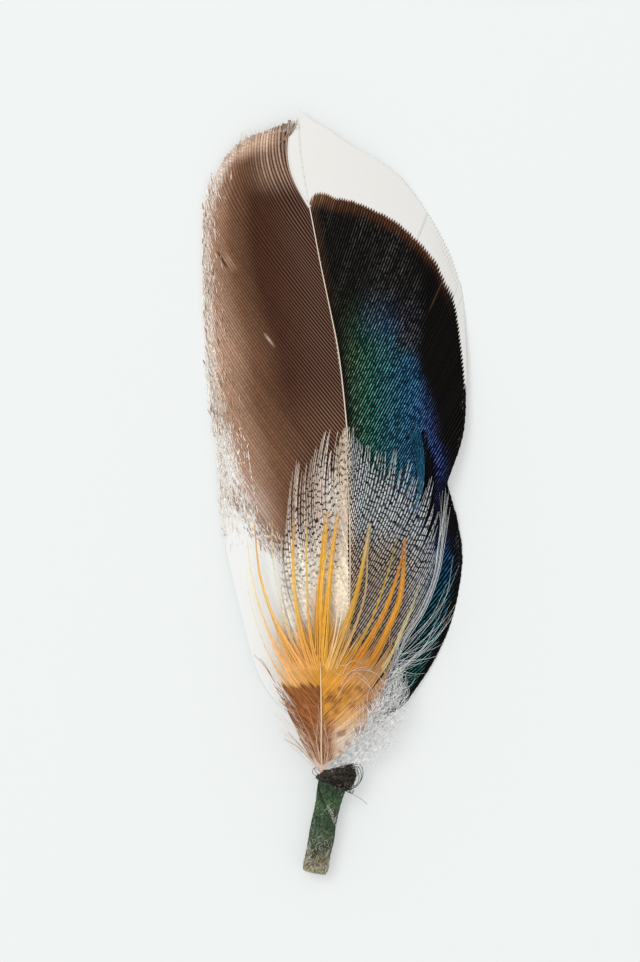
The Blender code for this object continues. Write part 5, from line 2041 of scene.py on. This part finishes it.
class FEATHER_OT_front(bpy.types.Operator):
    """Builds the broad front feather, its brown and dark vanes, shaft and loose hairs"""

    bl_idname = "hat_feather.front"
    bl_label = "Front feather"

    def execute(self, context):
        colours, sizes = context.scene.feather_colours, context.scene.feather_sizes
        build_brown_vane(colours, sizes)
        build_dark_vane(colours, sizes)
        build_parted_barbs(colours, sizes)
        build_front_shaft(colours)
        build_fringe(colours)
        build_tufts(colours)
        return {"FINISHED"}


class FEATHER_OT_flank(bpy.types.Operator):
    """Builds the barred flank feather with its loose barbs and down"""

    bl_idname = "hat_feather.flank"
    bl_label = "Flank feather"

    def execute(self, context):
        colours, sizes = context.scene.feather_colours, context.scene.feather_sizes
        build_flank(colours, sizes)
        build_loose_barbs(colours)
        build_down(colours, sizes)
        return {"FINISHED"}


class FEATHER_OT_golden(bpy.types.Operator):
    """Builds the dyed golden feather with the hairs at its foot"""

    bl_idname = "hat_feather.golden"
    bl_label = "Golden feather"

    def execute(self, context):
        build_golden(context.scene.feather_colours, context.scene.feather_sizes)
        build_golden_hairs(context.scene.feather_colours)
        return {"FINISHED"}


class FEATHER_OT_binding(bpy.types.Operator):
    """Winds the thread round the quills"""

    bl_idname = "hat_feather.binding"
    bl_label = "Thread binding"

    def execute(self, context):
        colours = context.scene.feather_colours
        build_turns(colours, context.scene.feather_sizes)
        build_tangle(colours)
        build_loose_loops(colours)
        return {"FINISHED"}


class FEATHER_OT_tape(bpy.types.Operator):
    """Wraps the stem in crepe tape"""

    bl_idname = "hat_feather.tape"
    bl_label = "Taped stem"

    def execute(self, context):
        colours, sizes = context.scene.feather_colours, context.scene.feather_sizes
        build_tape(colours, sizes)
        build_tape_fibres(colours, sizes)
        return {"FINISHED"}


class FEATHER_OT_stage(bpy.types.Operator):
    """Lays the floor and sets the light and the camera"""

    bl_idname = "hat_feather.stage"
    bl_label = "Stage"

    def execute(self, context):
        build_stage()
        return {"FINISHED"}


OPERATORS = (
    FEATHER_OT_rear, FEATHER_OT_front, FEATHER_OT_flank, FEATHER_OT_golden,
    FEATHER_OT_binding, FEATHER_OT_tape, FEATHER_OT_stage,
)


class FEATHER_PT_panel(bpy.types.Panel):
    """Lists the steps and the settings of the bunch"""

    bl_idname = "FEATHER_PT_panel"
    bl_label = "Hat Feather"
    bl_space_type = "VIEW_3D"
    bl_region_type = "UI"
    bl_category = "Hat Feather"

    def draw(self, context):
        for operator in OPERATORS:
            self.layout.operator(operator.bl_idname)
        for settings in (context.scene.feather_sizes, context.scene.feather_colours):
            for key in settings.__annotations__:
                self.layout.prop(settings, key)


CLASSES = (FeatherColours, FeatherSizes, *OPERATORS, FEATHER_PT_panel)


def register():
    for cls in CLASSES:
        bpy.utils.register_class(cls)
    bpy.types.Scene.feather_colours = bpy.props.PointerProperty(type=FeatherColours)
    bpy.types.Scene.feather_sizes = bpy.props.PointerProperty(type=FeatherSizes)


def unregister():
    del bpy.types.Scene.feather_sizes
    del bpy.types.Scene.feather_colours
    for cls in reversed(CLASSES):
        bpy.utils.unregister_class(cls)


def main():
    register()
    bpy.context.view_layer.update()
    sweep_tree()
    hair_tree()
    bpy.ops.hat_feather.rear()
    bpy.ops.hat_feather.front()
    bpy.ops.hat_feather.flank()
    bpy.ops.hat_feather.golden()
    bpy.ops.hat_feather.binding()
    bpy.ops.hat_feather.tape()
    bpy.ops.hat_feather.stage()


if __name__ == "__main__":
    main()
